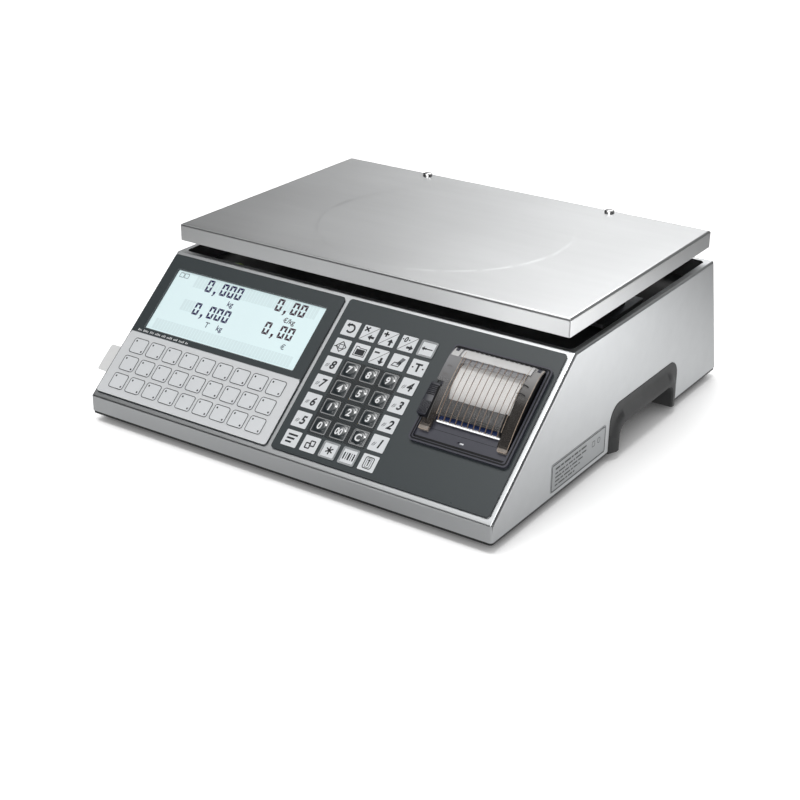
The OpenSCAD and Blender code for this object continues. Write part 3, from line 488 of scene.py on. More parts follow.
made_materials["lcd_glass"] = lcd_material()
lcd_faint = lcd_material("lcd_faint", 0.90)
made_materials["vial_green"] = vial_material()
made_materials["smoked_cover"] = smoked("smoked_cover", (0.10, 0.085, 0.075), 0.35, 0.85)
cover_clear = clear_plastic("cover_clear", (0.80, 0.78, 0.76), 0.045)
# pale, nearly opaque sheet standing for light caught on the cover's curved top: painted highlight
cover_painted_highlight = clear_plastic("cover_painted_highlight", (0.96, 0.95, 0.94), 0.70)
# grey sheet standing for the shadow under the cover's curved top: painted shade
cover_shade = clear_plastic("cover_shade", (0.34, 0.34, 0.36), 0.55)
# both cheeks: dark below the band, painted lighter above it, the shading of their upward-curving
# tops
cover_left = clear_plastic("cover_left", (0.42, 0.42, 0.43), 0.55, (0.060, 0.052, 0.046))
cover_right = clear_plastic("cover_right", (0.58, 0.57, 0.565), 0.74, (0.052, 0.047, 0.043),
                            (90, 124))
cover_foot = clear_plastic("cover_foot", (0.42, 0.37, 0.33), 0.62)
tan_edge = moulded("cover_tan_edge", (0.42, 0.33, 0.26), 0.22, 900, 0.00001,
                   Coat_Weight=0.4)
tan_rib = moulded("cover_tan_rib", (0.27, 0.195, 0.15), 0.35, 900, 0.00001,
                  Specular_IOR_Level=0.3)
cover_black = moulded("cover_black", (0.004, 0.004, 0.005), 0.45, 1500, 0.00001,
                      Specular_IOR_Level=0.25)
tooth_white = moulded("tooth_white", (0.55, 0.55, 0.55), 0.35, 1500, 0.00002)
# the left hooks' own grey, also used as a painted highlight along the edges of the dark bars
hook_grey_and_edge_highlight = moulded("hook_grey_and_edge_highlight", (0.13, 0.125, 0.12), 0.3, 1500, 0.00002)
carrier_dark = moulded("carrier_dark", (0.034, 0.035, 0.038), 0.40, 1500, 0.00002,
                       Specular_IOR_Level=0.3)
latch_slate = moulded("latch_slate", (0.036, 0.037, 0.048), 0.34, 2400, 0.00003)
led_white = moulded("led_white", (0.70, 0.72, 0.75), 0.20, 900, 0.00001, Coat_Weight=0.6)
ink_dark = film("ink_dark", INK_DARK, 0.35)
ink_light = film("ink_light", INK_LIGHT, 0.35)
ink_white = film("ink_white", (0.85, 0.86, 0.87), 0.35)
ink_ring = film("ink_ring", (0.30, 0.305, 0.31), 0.35)
hatch_ink = film("hatch_ink", (0.004, 0.005, 0.006), 0.45)
ink_grey = film("ink_grey", (0.16, 0.17, 0.18), 0.38)
film_light = film("film_light", FILM_LIGHT, 0.32, Coat_Weight=0.1)
key_light = film("key_light", KEY_LIGHT, 0.30, Coat_Weight=0.15)
clear_rim = smoked("key_clear_rim", (0.42, 0.44, 0.45), 0.60, 0.9)
lcd_ink = film("lcd_ink", (0.012, 0.004, 0.080), 0.40)
lcd_maroon = film("lcd_maroon", (0.035, 0.004, 0.022), 0.40)
lcd_grey = film("lcd_grey", (0.10, 0.13, 0.16), 0.30)
plate_ink = film("plate_ink", (0.075, 0.08, 0.085), 0.45)

# ---------------------------------------------------------------- carried-over nodes

# edge rounding in mm; nodes that aren't named have none
EDGE = {"housing": 0.5, "platter": 0.5, "base_tray": 0.4, "side_grip_left": 0.8,
        "side_grip_right": 0.8, "printer_frame": 0.3, "cover_latch": 0.3, "tear_bar": 0.1,
        "display_panel": 0.12, "keypad_panel": 0.12, "insert_card": 0.04,
        "platter_screws": 0.1, "spider": 0.3, "well_cover": 0.3, "power_inlet": 0.3,
        "power_switch": 0.3, "interface_sockets": 0.25, "customer_display": 0.3,
        "rating_plate": 0.05, "foot_front_left": 0.4, "foot_front_right": 0.4,
        "foot_rear_left": 0.4, "foot_rear_right": 0.4, "exit_guide": 0.2,
        "spider_pads": 0.3, "label_roll": 0.1, "level_vial": 0.2}

for name, node in nodes.items():
    for slot in node.material_slots:
        slot.material = made_materials[slot.material.name.split(".")[0]]
    if name in EDGE:
        if "custom_normal" in node.data.attributes:
            node.data.attributes.remove(node.data.attributes["custom_normal"])
        for polygon in node.data.polygons:
            polygon.use_smooth = True
        weld = node.modifiers.new("weld", "WELD")
        weld.merge_threshold = 2e-6
        bevel = node.modifiers.new("edge", "BEVEL")
        bevel.width = EDGE[name] * MM
        bevel.segments = 3
        bevel.limit_method = "ANGLE"
        bevel.angle_limit = math.radians(35)
        bevel.harden_normals = True
        bevel.miter_outer = "MITER_ARC"
    if name in ("platter", "housing"):      # flat sheets stay flat beside their soft folds
        flat = node.modifiers.new("flat", "WEIGHTED_NORMAL")
        flat.weight = 100
        flat.keep_sharp = True

# ---------------------------------------------------------------- left panel

PANEL = area("display_panel")
PANEL_FACE = 1.3                    # film surface above the steel
PLU_COLUMNS, PLU_ROWS = 9, 3
PLU_W, PLU_H = 14.7, 13.4
PLU_PITCH_X, PLU_PITCH_V = 17.8, 17.0
PLU_X, PLU_V = -171.7, 52.0         # middle of the first key
SPLIT_V = 63.8                      # dark film above, light film below
INK = 0.05                          # how far a print lies above its film

left = Drawing()
left.fill(rounded(PANEL[0] + 0.5, PANEL[1] - 0.5, PANEL[2] + 0.5, SPLIT_V, 2.6),
          PANEL_FACE + INK)
for row in range(PLU_ROWS):
    for column in range(PLU_COLUMNS):
        x, v = PLU_X + PLU_PITCH_X * column, PLU_V - PLU_PITCH_V * row
        cap = rounded(x - PLU_W / 2, x + PLU_W / 2, v - PLU_H / 2, v + PLU_H / 2, 2)
        left.fill(cap, PANEL[5] + INK, 1)
        left.line(cap, 0.55, PANEL[5] + 2 * INK, True, 2)
        # two small marks where the two levels of the key are printed
        left.line([(x - 5.5, v + 4.1), (x - 4.2, v + 4.1)], 1.5, PANEL[5] + 2 * INK, finish=2)
        left.line([(x + 4.2, v - 4.4), (x + 5.5, v - 4.4)], 1.5, PANEL[5] + 2 * INK, finish=2)
left.line([(PANEL[0] + 0.6, SPLIT_V), (PANEL[1] - 0.6, SPLIT_V)], 0.5, PANEL_FACE + 2 * INK,
          finish=3)
left.build("price_keys", [film_light, key_light, ink_dark, ink_light], "scale", "display_film")

edge = Drawing()
edge.line(rounded(PANEL[0] + 0.2, PANEL[1] - 0.2, PANEL[2] + 0.2, PANEL[3] - 0.2, 2.9),
          0.35, PANEL_FACE + INK, True)
for i in range(38):                 # stands for the line of small type, unreadable
    x, tall = -181.6 + 1.42 * i, (1.9, 1.3, 1.6, 2.0, 1.2)[i * 7 % 5]
    if i % 9 not in (3, 8):
        edge.line([(x, 65.6), (x + 0.25, 65.6 + tall)], 0.75, PANEL_FACE + INK, finish=1)
edge.build("left_panel_print", [ink_dark, ink_white], "scale", "display_film")

# ---------------------------------------------------------------- display

LCD = area("lcd_module")
LCD_FACE = LCD[5] + INK
WINDOW = (-177.3, -23.4, 69.7, 128.5)


def zero(target, x, v, finish):
    """A nought of six mitred segments; x, v is its lower left corner."""
    w, s, gap = DIGIT_W, STROKE, 0.18
    mid, top = v + DIGIT_H / 2, v + DIGIT_H

    def bar(points):
        target.fill(points, LCD_FACE + INK, finish)

    bar([(x + gap, v), (x + w - gap, v), (x + w - s - gap, v + s), (x + s + gap, v + s)])
    bar([(x + s + gap, top - s), (x + w - s - gap, top - s), (x + w - gap, top), (x + gap, top)])
    for edge, inner in ((x, x + s), (x + w, x + w - s)):
        lower = [(edge, v + gap), (inner, v + s + gap), (inner, mid - s / 2 - gap),
                 (edge, mid - gap)]
        upper = [(edge, mid + gap), (inner, mid + s / 2 + gap), (inner, top - s - gap),
                 (edge, top - gap)]
        for points in (lower, upper):   # the right-hand ones are turned round to face out
            bar(points if edge == x else points[:1] + points[:0:-1])


DIGIT_W, DIGIT_H, STROKE = 6.0, 11.4, 1.85
lcd = Drawing()
for x0, x1, v0, v1 in ((-156, -76, 116.5, 127.4), (-76, -28, 116.5, 127.4),
                       (-156, -142, 94, 104.5), (-172, -28, 71.6, 81.4)):
    x = x0
    while x + 2.2 < x1:             # unlit bars and cells, just visible
        lcd.fill([(x, v0), (x + 2.7, v0), (x + 2.7, v1), (x, v1)], LCD_FACE)
        x += 3.1
for x0, v0, places, ink in ((-142.6, 115.4, (0, 15.4, 23.2, 31.0), 1),
                            (-142.6, 92.9, (0, 15.4, 23.2, 31.0), 1),
                            (-69.6, 115.4, (0, 15.4, 23.2), 3), (-69.6, 93.2, (0, 15.4, 23.2), 3)):
    for place in places:
        zero(lcd, x0 + place, v0, ink)
    comma = x0 + 9.2
    lcd.fill([(comma, v0), (comma + 2.2, v0), (comma + 2.2, v0 + 2.1), (comma, v0 + 2.1)],
             LCD_FACE + INK, ink)
    lcd.fill([(comma - 0.3, v0 - 2.3), (comma + 0.9, v0 - 2.3), (comma + 2.2, v0),
              (comma + 0.8, v0)], LCD_FACE + INK, ink)
for text, x, v, ink in (("kg", -111.2, 109.6, 1), ("kg", -108.6, 86.4, 1), ("T", -122.0, 87.2, 2),
                        ("€/kg", -50.5, 109.0, 3), ("€", -44.0, 87.0, 2)):
    lcd.type(text, x, v, 6.2 if "kg" in text else 5.0, LCD_FACE + INK, bold=0.012, finish=ink)
for x0 in (-174.0, -169.0):         # small status frame
    lcd.line(rounded(x0, x0 + 4.2, 122.6, 126.6, 0.5), 0.45, LCD_FACE + INK, True, 2)
lcd.build("lcd_segments", [lcd_faint, lcd_ink, lcd_grey, lcd_maroon], "scale", "lcd_glass")

bezel = Drawing()                   # pale bevelled lip of the window
inner = rounded(WINDOW[0], WINDOW[1], WINDOW[2], WINDOW[3], 1)
outer = rounded(WINDOW[0] - 0.45, WINDOW[1] + 0.45, WINDOW[2] - 0.45, WINDOW[3] + 0.45, 1.4)
bezel.loops([[(x, v, PANEL_FACE + INK) for x, v in outer],
             [(x, v, PANEL_FACE - 0.35) for x, v in inner]], cap=False)
bezel.build("lcd_bezel", [ink_light], "scale", "display_film")

# ---------------------------------------------------------------- keypad

PAD = area("keypad_panel")
KEY_W, KEY_H = 14.0, 13.4
KEY_PITCH_X, KEY_PITCH_V = 17.75, 16.7
KEY_X, KEY_V = 6.5, 116.8           # middle of the top left key
TOP = PAD[5]                        # faces of the function keys


def key_place(column, row):
    return KEY_X + KEY_PITCH_X * column, KEY_V - KEY_PITCH_V * row


def is_number(column, row):
    return 1 <= column <= 3 and 2 <= row <= 5


faces = Drawing()
H = TOP + 2 * INK


def stroke(points, width, closed=False, finish=1):
    faces.line(points, width, H, closed, finish)


def arrow(x, v, dx, dv, size):
    """Solid arrow with a short stem, pointing along dx, dv."""
    def at(a, b):
        return (x + (a * dx - b * dv) * size, v + (a * dv + b * dx) * size)
    faces.fill([at(1, 0), at(0.05, 0.85), at(0.05, 0.32), at(-0.9, 0.32),
                at(-0.9, -0.32), at(0.05, -0.32), at(0.05, -0.85)], H, 1)


for row in range(7):
    for column in range(5):
        if is_number(column, row):
            continue
        x, v = key_place(column, row)
        faces.fill(rounded(x - KEY_W / 2, x + KEY_W / 2, v - KEY_H / 2, v + KEY_H / 2, 0.8),
                   TOP + INK)
for column, row, text in ((0, 2, "8"), (0, 3, "7"), (0, 4, "6"), (0, 5, "5"),
                          (4, 2, "4"), (4, 3, "3"), (4, 4, "2"), (4, 5, "1")):
    x, v = key_place(column, row)
    faces.type(text, x + 1.7, v, 7.6, H, 0.22, 0.03, 1, 0.9)
    faces.type("#", x - 3.4, v - 1.0, 3.6, H, 0.28, 0.0, 2)
for column, row, sign, dx, dv in ((1, 0, "x", -1, 0), (2, 0, "+", 0, 1),
                                  (3, 0, "0", 1, 0), (2, 1, "-", 0, -1)):
    x, v = key_place(column, row)
    stroke([(x - 6.9, v - 6.6), (x + 6.9, v + 6.6)], 0.4)   # diagonal
    if sign == "x":
        stroke([(x - 5.4, v + 5.2), (x - 1.3, v + 1.5)], 1.35)
        stroke([(x - 5.4, v + 1.5), (x - 1.3, v + 5.2)], 1.35)
    elif sign == "0":
        faces.type("0", x - 2.9, v + 3.3, 4.8, H, 0.22, 0.04, 1, 0.9)
        stroke([(x - 6.3, v + 3.3), (x - 5.1, v + 3.3)], 1.0)
        stroke([(x - 0.8, v + 3.3), (x + 0.4, v + 3.3)], 1.0)
    else:
        stroke([(x - 5.6, v + 3.3), (x - 1.0, v + 3.3)], 1.4)
        if sign == "+":
            stroke([(x - 3.3, v + 1.0), (x - 3.3, v + 5.6)], 1.4)
    arrow(x + 2.9, v - 2.9, dx, dv, 3.1)
# corner keys: generic symbols in place of words
x, v = key_place(0, 0)              # leave
stroke([(x + 3.4 * math.cos(math.radians(a)), v + 3.4 * math.sin(math.radians(a)))
        for a in range(-140, 121, 20)], 1.5)
arrow(x - 2.3, v + 3.0, -0.94, -0.34, 2.6)
x, v = key_place(4, 0)              # enter
stroke([(x + 4.6, v), (x - 1.5, v)], 0.9)
arrow(x - 2.8, v, -1, 0, 2.3)
x, v = key_place(0, 1)              # feed in a diamond
stroke([(x - 4.5, v), (x, v + 4.5), (x + 4.5, v), (x, v - 4.5)], 0.75, True)
stroke([(x - 6.2, v - 0.6), (x - 2.6, v - 0.6)], 0.8)
stroke(rounded(x - 1.9, x + 2.1, v - 1.8, v + 1.8, 0.5), 0.6, True)
x, v = key_place(1, 1)              # open drawer
stroke([(x - 4.9, v - 3.9), (x - 4.9, v + 3.9), (x - 2.4, v + 3.9), (x - 1.4, v + 2.9),
        (x + 4.9, v + 2.9), (x + 4.9, v - 3.9)], 0.6, True)
faces.fill([(x - 3.8, v - 3.1), (x + 4.0, v - 3.1), (x + 4.0, v + 1.9), (x - 3.8, v + 1.9)], H, 1)
x, v = key_place(3, 1)              # hand over a sheet
stroke([(x - 4.6, v - 3.6), (x + 1.4, v - 3.6), (x + 2.6, v - 0.6), (x - 3.0, v - 0.6)], 0.7,
       True)
faces.fill([(x - 1.0, v - 1.9), (x + 1.6, v - 2.3), (x + 5.2, v + 3.7), (x + 1.9, v + 4.6)], H, 2)
faces.fill([(x - 0.6, v - 0.4), (x + 2.3, v - 0.9), (x + 3.0, v + 0.7), (x + 0.3, v + 1.3)], H, 1)
x, v = key_place(4, 1)              # tare: a weight between two dots
stroke([(x - 3.1, v + 2.9), (x + 3.1, v + 2.9)], 1.5)
stroke([(x, v + 2.9), (x, v - 3.7)], 1.7)
for side in (-1, 1):
    stroke([(x + side * 5.2, v - 0.3), (x + side * 3.8, v - 0.3)], 1.1)
x, v = key_place(0, 6)              # three lines and a mark
for i in range(3):
    stroke([(x - 4.2, v + 3.1 - 3.1 * i), (x + 4.4 - 1.6 * i, v + 3.1 - 3.1 * i)], 1.5)
x, v = key_place(1, 6)              # two squares
for side in (-1, 1):
    stroke(rounded(x - 1.9 + 1.7 * side, x + 1.9 + 1.7 * side, v - 2.4 + 1.2 * side,
                   v + 1.8 + 1.2 * side, 0.4), 1.0, True)
x, v = key_place(2, 6)              # star
for i in range(3):
    a = math.radians(90 + 60 * i)
    stroke([(x - 3.4 * math.cos(a), v - 3.4 * math.sin(a)),
            (x + 3.4 * math.cos(a), v + 3.4 * math.sin(a))], 1.1)
x, v = key_place(3, 6)              # bars
for i, w in enumerate((1.1, 0.6, 1.5, 0.6, 1.1)):
    stroke([(x - 4.2 + 2.1 * i, v - 2.9), (x - 4.2 + 2.1 * i, v + 2.9)], w)
x, v = key_place(4, 6)              # a strip of labels with an arrow
stroke(rounded(x - 3.6, x + 3.6, v - 4.6, v + 4.6, 1.4), 0.7, True)
stroke(rounded(x - 1.9, x + 1.9, v - 3.6, v + 3.6, 0.6), 0.5, True, 2)
stroke([(x, v - 2.6), (x, v + 1.5)], 0.8)
arrow(x, v + 1.6, 0, 1, 1.6)
faces.build("function_keys", [key_light, ink_dark, ink_grey], "scale", "keypad_film")

# raised clear rims on the keys that are felt for
rims = Drawing()
for column, row in ((4, 0), (2, 6), (3, 6)):
    x, v = key_place(column, row)
    section = ((-0.35, 0.0), (-0.35, 0.36), (-0.1, 0.60), (0.75, 0.60), (1.15, 0.36), (1.15, 0.0))
    rings = []
    for inset, rise in section:
        ring = rounded(x - KEY_W / 2 + inset, x + KEY_W / 2 - inset, v - KEY_H / 2 + inset,
                       v + KEY_H / 2 - inset, 1.3 - inset * 0.5)
        rings.append([(px, pv, TOP + INK + rise) for px, pv in ring])
    rims.loops(rings, cap=False)
rims.build("key_rims", [clear_rim], "scale", "keypad_film", smooth=True)

# fine slanting lines between the number keys
hatch = Drawing()
HATCH = (KEY_X + 0.5 * KEY_PITCH_X + 0.2, KEY_X + 3.5 * KEY_PITCH_X - 0.2,
         KEY_V - 5.5 * KEY_PITCH_V + 0.3, KEY_V - 1.5 * KEY_PITCH_V - 0.3)
HATCH_STEP, HATCH_BIT = 1.75, 0.25
wells = [(x - KEY_W / 2 - 0.35, x + KEY_W / 2 + 0.35, v - KEY_H / 2 - 0.35, v + KEY_H / 2 + 0.35)
         for x, v in (key_place(c, r) for c in (1, 2, 3) for r in (2, 3, 4, 5))]
start = HATCH[0] - (HATCH[3] - HATCH[2])
while start < HATCH[1]:
    run = None
    steps = int((HATCH[3] - HATCH[2]) / HATCH_BIT)
    for i in range(steps + 1):
        x, v = start + i * HATCH_BIT, HATCH[2] + i * HATCH_BIT
        clear = (HATCH[0] < x < HATCH[1] and i < steps and
                 not any(a < x < b and c < v < d for a, b, c, d in wells))
        if clear and run is None:
            run = (x, v)
        elif not clear and run is not None:
            if x - run[0] > 2 * HATCH_BIT:
                hatch.line([run, (x - HATCH_BIT, v - HATCH_BIT)], 0.75, PANEL_FACE + INK)
            run = None
    start += HATCH_STEP
hatch.line(rounded(PAD[0] + 0.2, PAD[1] - 0.2, PAD[2] + 0.2, PAD[3] - 0.2, 2.9), 0.35,
           PANEL_FACE + INK, True, 1)
hatch.build("keypad_print", [hatch_ink, ink_dark], "scale", "keypad_film")

# ---------------------------------------------------------------- number keys

NUMBERS = {"key_0": "0", "key_1": "1", "key_2": "2", "key_3": "3", "key_4": "4", "key_5": "5",
           "key_6": "6", "key_7": "7", "key_8": "8", "key_9": "9", "key_00": "00",
           "key_clear": "C"}
DOME_FOOT, DOME_TOP, DOME_RISE = 5.5, 3.2, 0.62

for key, text in NUMBERS.items():
    x0, x1, v0, v1, h0, h1 = area(key)
    cx, cv = (x0 + x1) / 2, (v0 + v1) / 2
    shelf = h1 - DOME_RISE
    cap = Drawing()
    rows = []
    for inset, h in ((0, h0), (0, shelf - 0.25), (0.12, shelf - 0.06), (0.3, shelf), (1.1, shelf)):
        ring = rounded(x0 + inset, x1 - inset, v0 + inset, v1 - inset, 1.2, 6)
        rows.append([(x, v, h) for x, v in divided(ring, 14)])
    turns = [math.atan2(v - cv, x - cx) for x, v, _ in rows[-1]]
    for i in range(9):
        t = i / 8
        r = DOME_FOOT + (DOME_TOP - DOME_FOOT) * t
        h = shelf + (h1 - shelf - 0.02) * (1 - (1 - t) ** 2)
        rows.append([(cx + r * math.cos(a), cv + r * math.sin(a), h) for a in turns])
    rows.append([(cx + 2 * math.cos(a), cv + 2 * math.sin(a), h1 - 0.02) for a in turns])
    cap.loops(rows)
    ring = rounded(x0 + 0.5, x1 - 0.5, v0 + 0.5, v1 - 0.5, 1.3)
    cap.line(ring, 0.7, shelf + 0.03, True, 2)
    if key == "key_clear":
        inner = rounded(x0 + 1.5, x1 - 1.5, v0 + 1.5, v1 - 1.5, 1.0)
        cap.line(inner, 0.5, shelf + 0.03, True, 2)
    cap.type(text, cx - 0.5, cv - 0.1, 6.3 if text != "00" else 5.9, h1, 0.10, 0.03, 1,
             0.9 if text != "00" else 0.8)
    made = cap.build("cap_" + key, [made_materials["number_key"], ink_white, ink_ring], key,
                     "number_key", smooth=True)
    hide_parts(key)

# ---------------------------------------------------------------- printer

FRAME = area("printer_frame")
COVER = area("printer_cover")
ROLL_X = sum(area("label_roll")[:2]) / 2
FIELD = 2.2                         # height of the printer's flat front
RIM = 4.3
ARCH = (COVER[0] + 12.0, COVER[1] - 9.0)
ARCH_SIDE = curve([(122.2, 4.2), (121.9, 7.0), (119.6, 9.4), (114, 11.1), (104, 11.75),
                   (92, 11.6), (80, 10.5), (70, 9.0), (66.4, 8.3)])
CHEEK_SIDE = curve([(121.9, 6.4), (116, 8.9), (108, 9.9), (92, 9.7), (75, 8.1), (62, 5.9),
                    (56.4, 4.9)])
RIBS = 11
WALL = 0.9                          # thickness of the cover's cheeks and side walls
STATUS_LIGHT = (139.0, 142.4, 51.0, 52.3)
KNUCKLES, KNUCKLE_PITCH = 13, 4.2

# painted shade: black strips in the grooves between the rim, the ridge inside it and the flat
# front, where shadow falls, and a thin black line across the flat front under the cover
groove_shade = Drawing()
groove_shade.line(rounded(FRAME[0] + 1.9, FRAME[1] - 1.9, FRAME[2] + 1.9, FRAME[3] - 1.9, 2.3), 1.1,
          RIM + INK, True)
groove_shade.fill([(COVER[1] + 0.1, FRAME[2] + 3.1), (COVER[1] + 0.7, FRAME[2] + 3.1),
           (COVER[1] + 0.7, FRAME[3] - 4), (COVER[1] + 0.1, FRAME[3] - 4)], FIELD + INK)
groove_shade.fill([(FRAME[0] + 3.1, FRAME[2] + 3.1), (COVER[1] + 0.7, FRAME[2] + 3.1),
           (COVER[1] + 0.7, FRAME[2] + 5.5), (FRAME[0] + 3.1, FRAME[2] + 5.5)], FIELD + INK)
groove_shade.line([(ARCH[0] - 2, 56.8), (ARCH[1] + 1, 56.8)], 0.25, FIELD + INK)
groove_shade.build("printer_groove_shade", [cover_black], "scale", "printer_plastic")

lens = Drawing()
lens.block(*STATUS_LIGHT, 1.6, FIELD + 0.15, 0.3)
lens.build("status_light", [led_white], "scale", "printer_plastic", smooth=True)

# curved clear sheet over the roll, with its side walls; its pale upper band is a painted
# highlight, and a grey strip under its curved top is painted shade
sheet = Drawing()
upper = [p for p in ARCH_SIDE if p[0] >= 112.5]
middle = [p for p in ARCH_SIDE if 108 <= p[0] <= 114.2]
sheet.band([p for p in ARCH_SIDE if p[0] <= 113.4], ARCH[0], ARCH[1], 0.8)
# painted highlight: the upper band and its run over the left cheek take the pale finish
sheet.band(upper, ARCH[0] - 2, ARCH[1] + 2.2, 0.85, 1)
sheet.band([(v, h + 0.1) for v, h in CHEEK_SIDE if v >= 113], COVER[0] + 0.8, ARCH[0] - 4.8,
           WALL, 1)
# painted shade: a grey strip just under the curved top
sheet.band([(v, h - 0.9) for v, h in middle], ARCH[0] + 0.5, ARCH[1] - 0.5, 0.4, 2)
for x in (ARCH[0], ARCH[1] - WALL):     # walls from the curved sheet down to the cheeks
    outline = [(v, h - 0.3) for v, h in ARCH_SIDE[4:]] + [(66.4, 3.6), (118.5, 3.6)]
    sheet.prism(outline, x, x + WALL)
cover = sheet.build("cover_sheet", [cover_clear, cover_painted_highlight, cover_shade], "cover",
                    "smoked_cover", smooth=True)
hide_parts("printer_cover")

# smoked cheeks beside it, and their feet
cheeks = Drawing()
notch = area("cover_latch")[1] + 0.6    # the left cheek is cut out this far for the latch
for x0, x1, foot0, foot1, finish in ((COVER[0], ARCH[0] + 0.1, COVER[0] + 1.2, ARCH[0] - 2.6, 0),
                                     (ARCH[1] - 0.1, COVER[1], ARCH[1] + 0.8, COVER[1] - 0.3, 1)):
    if finish == 0:
        cheeks.band([p for p in CHEEK_SIDE if p[0] >= 92], x0, x1, WALL)
        cheeks.band([p for p in CHEEK_SIDE if 61.5 <= p[0] <= 93], notch + 2.6, x1, WALL)
        cheeks.band([p for p in CHEEK_SIDE if p[0] <= 63], foot0, foot1 + 1.5, WALL)
    else:
        cheeks.band(CHEEK_SIDE, x0, x1, WALL, finish)
        outline = [(v, h - 0.4) for v, h in CHEEK_SIDE] + [(56.4, 3.4), (121.5, 3.4)]
        cheeks.prism(outline, x1 - WALL, x1, 4)
    cheeks.block(foot0, foot1, 53.2, 58.4, FIELD + 0.2, 4.9, 0.9, 2)
    cheeks.line(rounded(foot0 + 0.25, foot1 - 0.25, 53.45, 60.5, 0.9), 0.4, 5.0, True, 3)
cheeks.build("cover_cheeks", [cover_left, cover_right, cover_foot, tan_edge, cover_black], "cover",
             "smoked_cover", smooth=True)

# ribs that run down over the curved sheet and past its lower edge, and its tan edges
ribs = Drawing()
rib_line = ARCH_SIDE[2:] + [(64.2, 7.6), (62.6, 6.9)]
for i in range(RIBS):
    x = ARCH[0] + (i + 0.5) * (ARCH[1] - ARCH[0]) / RIBS
    ribs.band([(v, h + 0.2) for v, h in rib_line], x - 0.21, x + 0.21, 0.4)
    ribs.band([(v, h - 0.5) for v, h in rib_line[-5:]], x - 0.14, x + 0.14, 1.0)
for x in (ARCH[0], ARCH[1] - 0.35):
    ribs.band([(v, h + 0.3) for v, h in ARCH_SIDE[8:]], x, x + 0.35, 0.4, 1)
ribs.band([(v, h + 0.45) for v, h in CHEEK_SIDE], COVER[1] - 0.5, COVER[1] - 0.05, 0.45, 1)
ribs.build("cover_ribs", [tan_rib, tan_edge], "cover", "smoked_cover", smooth=True)

# dark label carrier across the cover, the bars at its ends, and the roll's hooks
carrier = Drawing()
carrier.block(ARCH[0] + 1, ARCH[1] - 1, 70.5, 81.5, 4.2, 6.0, 0.4, 1)
for i in range(2 * RIBS):
    x = ARCH[0] + (i + 0.25) * (ARCH[1] - ARCH[0]) / RIBS / 2 + 0.6
    carrier.block(x, x + 0.5, 70.9, 81.2, 5.9, 6.25, 0.2, 0 if i % 2 else 1)
carrier.block(ARCH[0] + 1, ARCH[1] - 1, 69.0, 70.4, 3.8, 5.6, 0.3)
# finish 2 is a narrow grey strip beside each dark bar: a painted highlight along its edge
for line, x0, x1, low, high, finish in (
        (CHEEK_SIDE, notch + 0.2, notch + 1.9, 61.5, 91.5, 0),
        (CHEEK_SIDE, notch + 1.95, notch + 2.5, 62.0, 90.8, 2),
        (ARCH_SIDE, ARCH[1] - 1.9, ARCH[1] - 0.7, 66.5, 82.5, 0),
        (ARCH_SIDE, ARCH[1] - 2.5, ARCH[1] - 1.95, 66.5, 82.0, 2)):
    top = [(v, h + 0.5) for v, h in line if low <= v <= high]
    carrier.prism(top + [(top[-1][0] - 3.5, 4.4), (top[0][0], 4.4)], x0, x1, finish)
for x0, x1, v in ((105.0, 109.0, 105.0), (104.6, 108.6, 98.0)):
    carrier.line([(x0 + (x1 - x0) * t, v + 0.9 * math.sin(t * 3) - 0.5) for t in
                  (0, 0.2, 0.4, 0.6, 0.8, 1)], 0.75, height_at(CHEEK_SIDE, v) + 0.65, finish=2)
for x0, x1, v in ((167.8, 174.4, 105.2), (167.8, 175.0, 98.0)):
    carrier.line([(x0 + (x1 - x0) * t, v + 1.0 * math.sin(t * 3) - 0.5 - 0.8 * t) for t in
                  (0, 0.15, 0.3, 0.45, 0.6, 0.8, 1)], 0.85,
                 height_at(ARCH_SIDE, v) + 0.05, finish=0)
for i in range(KNUCKLES):           # knuckles along the hinge
    x = ROLL_X - 26.4 + KNUCKLE_PITCH * i
    carrier.block(x - 0.1, x + 2.1, 122.6, 124.4, 3.6, 5.0, 0.4)
    carrier.block(x + 2.2, x + 4.0, 122.5, 123.7, 3.6, 4.9, 0.4, 3)
carrier.build("label_carrier", [cover_black, carrier_dark, hook_grey_and_edge_highlight, tooth_white], "cover",
              "smoked_cover", smooth=True)

# latch: a cap with two groups of finger ribs
L = area("cover_latch")
latch = Drawing()
latch.block(L[0] + 0.2, L[1], L[2], L[3], L[4], L[5] - 2.2, 0.3)
latch.block(L[0], L[1], L[2], L[3], L[5] - 2.4, L[5] - 0.45, 1.1)
for i in range(6):
    v = L[3] - 1.6 - 1.55 * i
    latch.block(L[0] + 0.5, L[1] - 0.6, v - 0.95, v, L[5] - 0.55, L[5] - 0.02, 0.25)
    latch.block(L[0] + 0.5, L[1] - 0.6, v - 1.5, v - 1.0, L[5] - 0.55, L[5] - 0.4, 0.2, 1)
for i in range(6):
    x = L[0] + 0.7 + 1.15 * i
    latch.block(x, x + 0.7, L[2] + 1.2, L[2] + 11.5, L[5] - 0.55, L[5] - 0.02, 0.25)
    latch.block(x + 0.72, x + 1.13, L[2] + 1.2, L[2] + 11.5, L[5] - 0.55, L[5] - 0.4, 0.2, 1)
made = latch.build("latch_cap", [latch_slate, cover_black], "latch", "printer_plastic",
                   smooth=True)
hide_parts("cover_latch")

# ---------------------------------------------------------------- rating plate

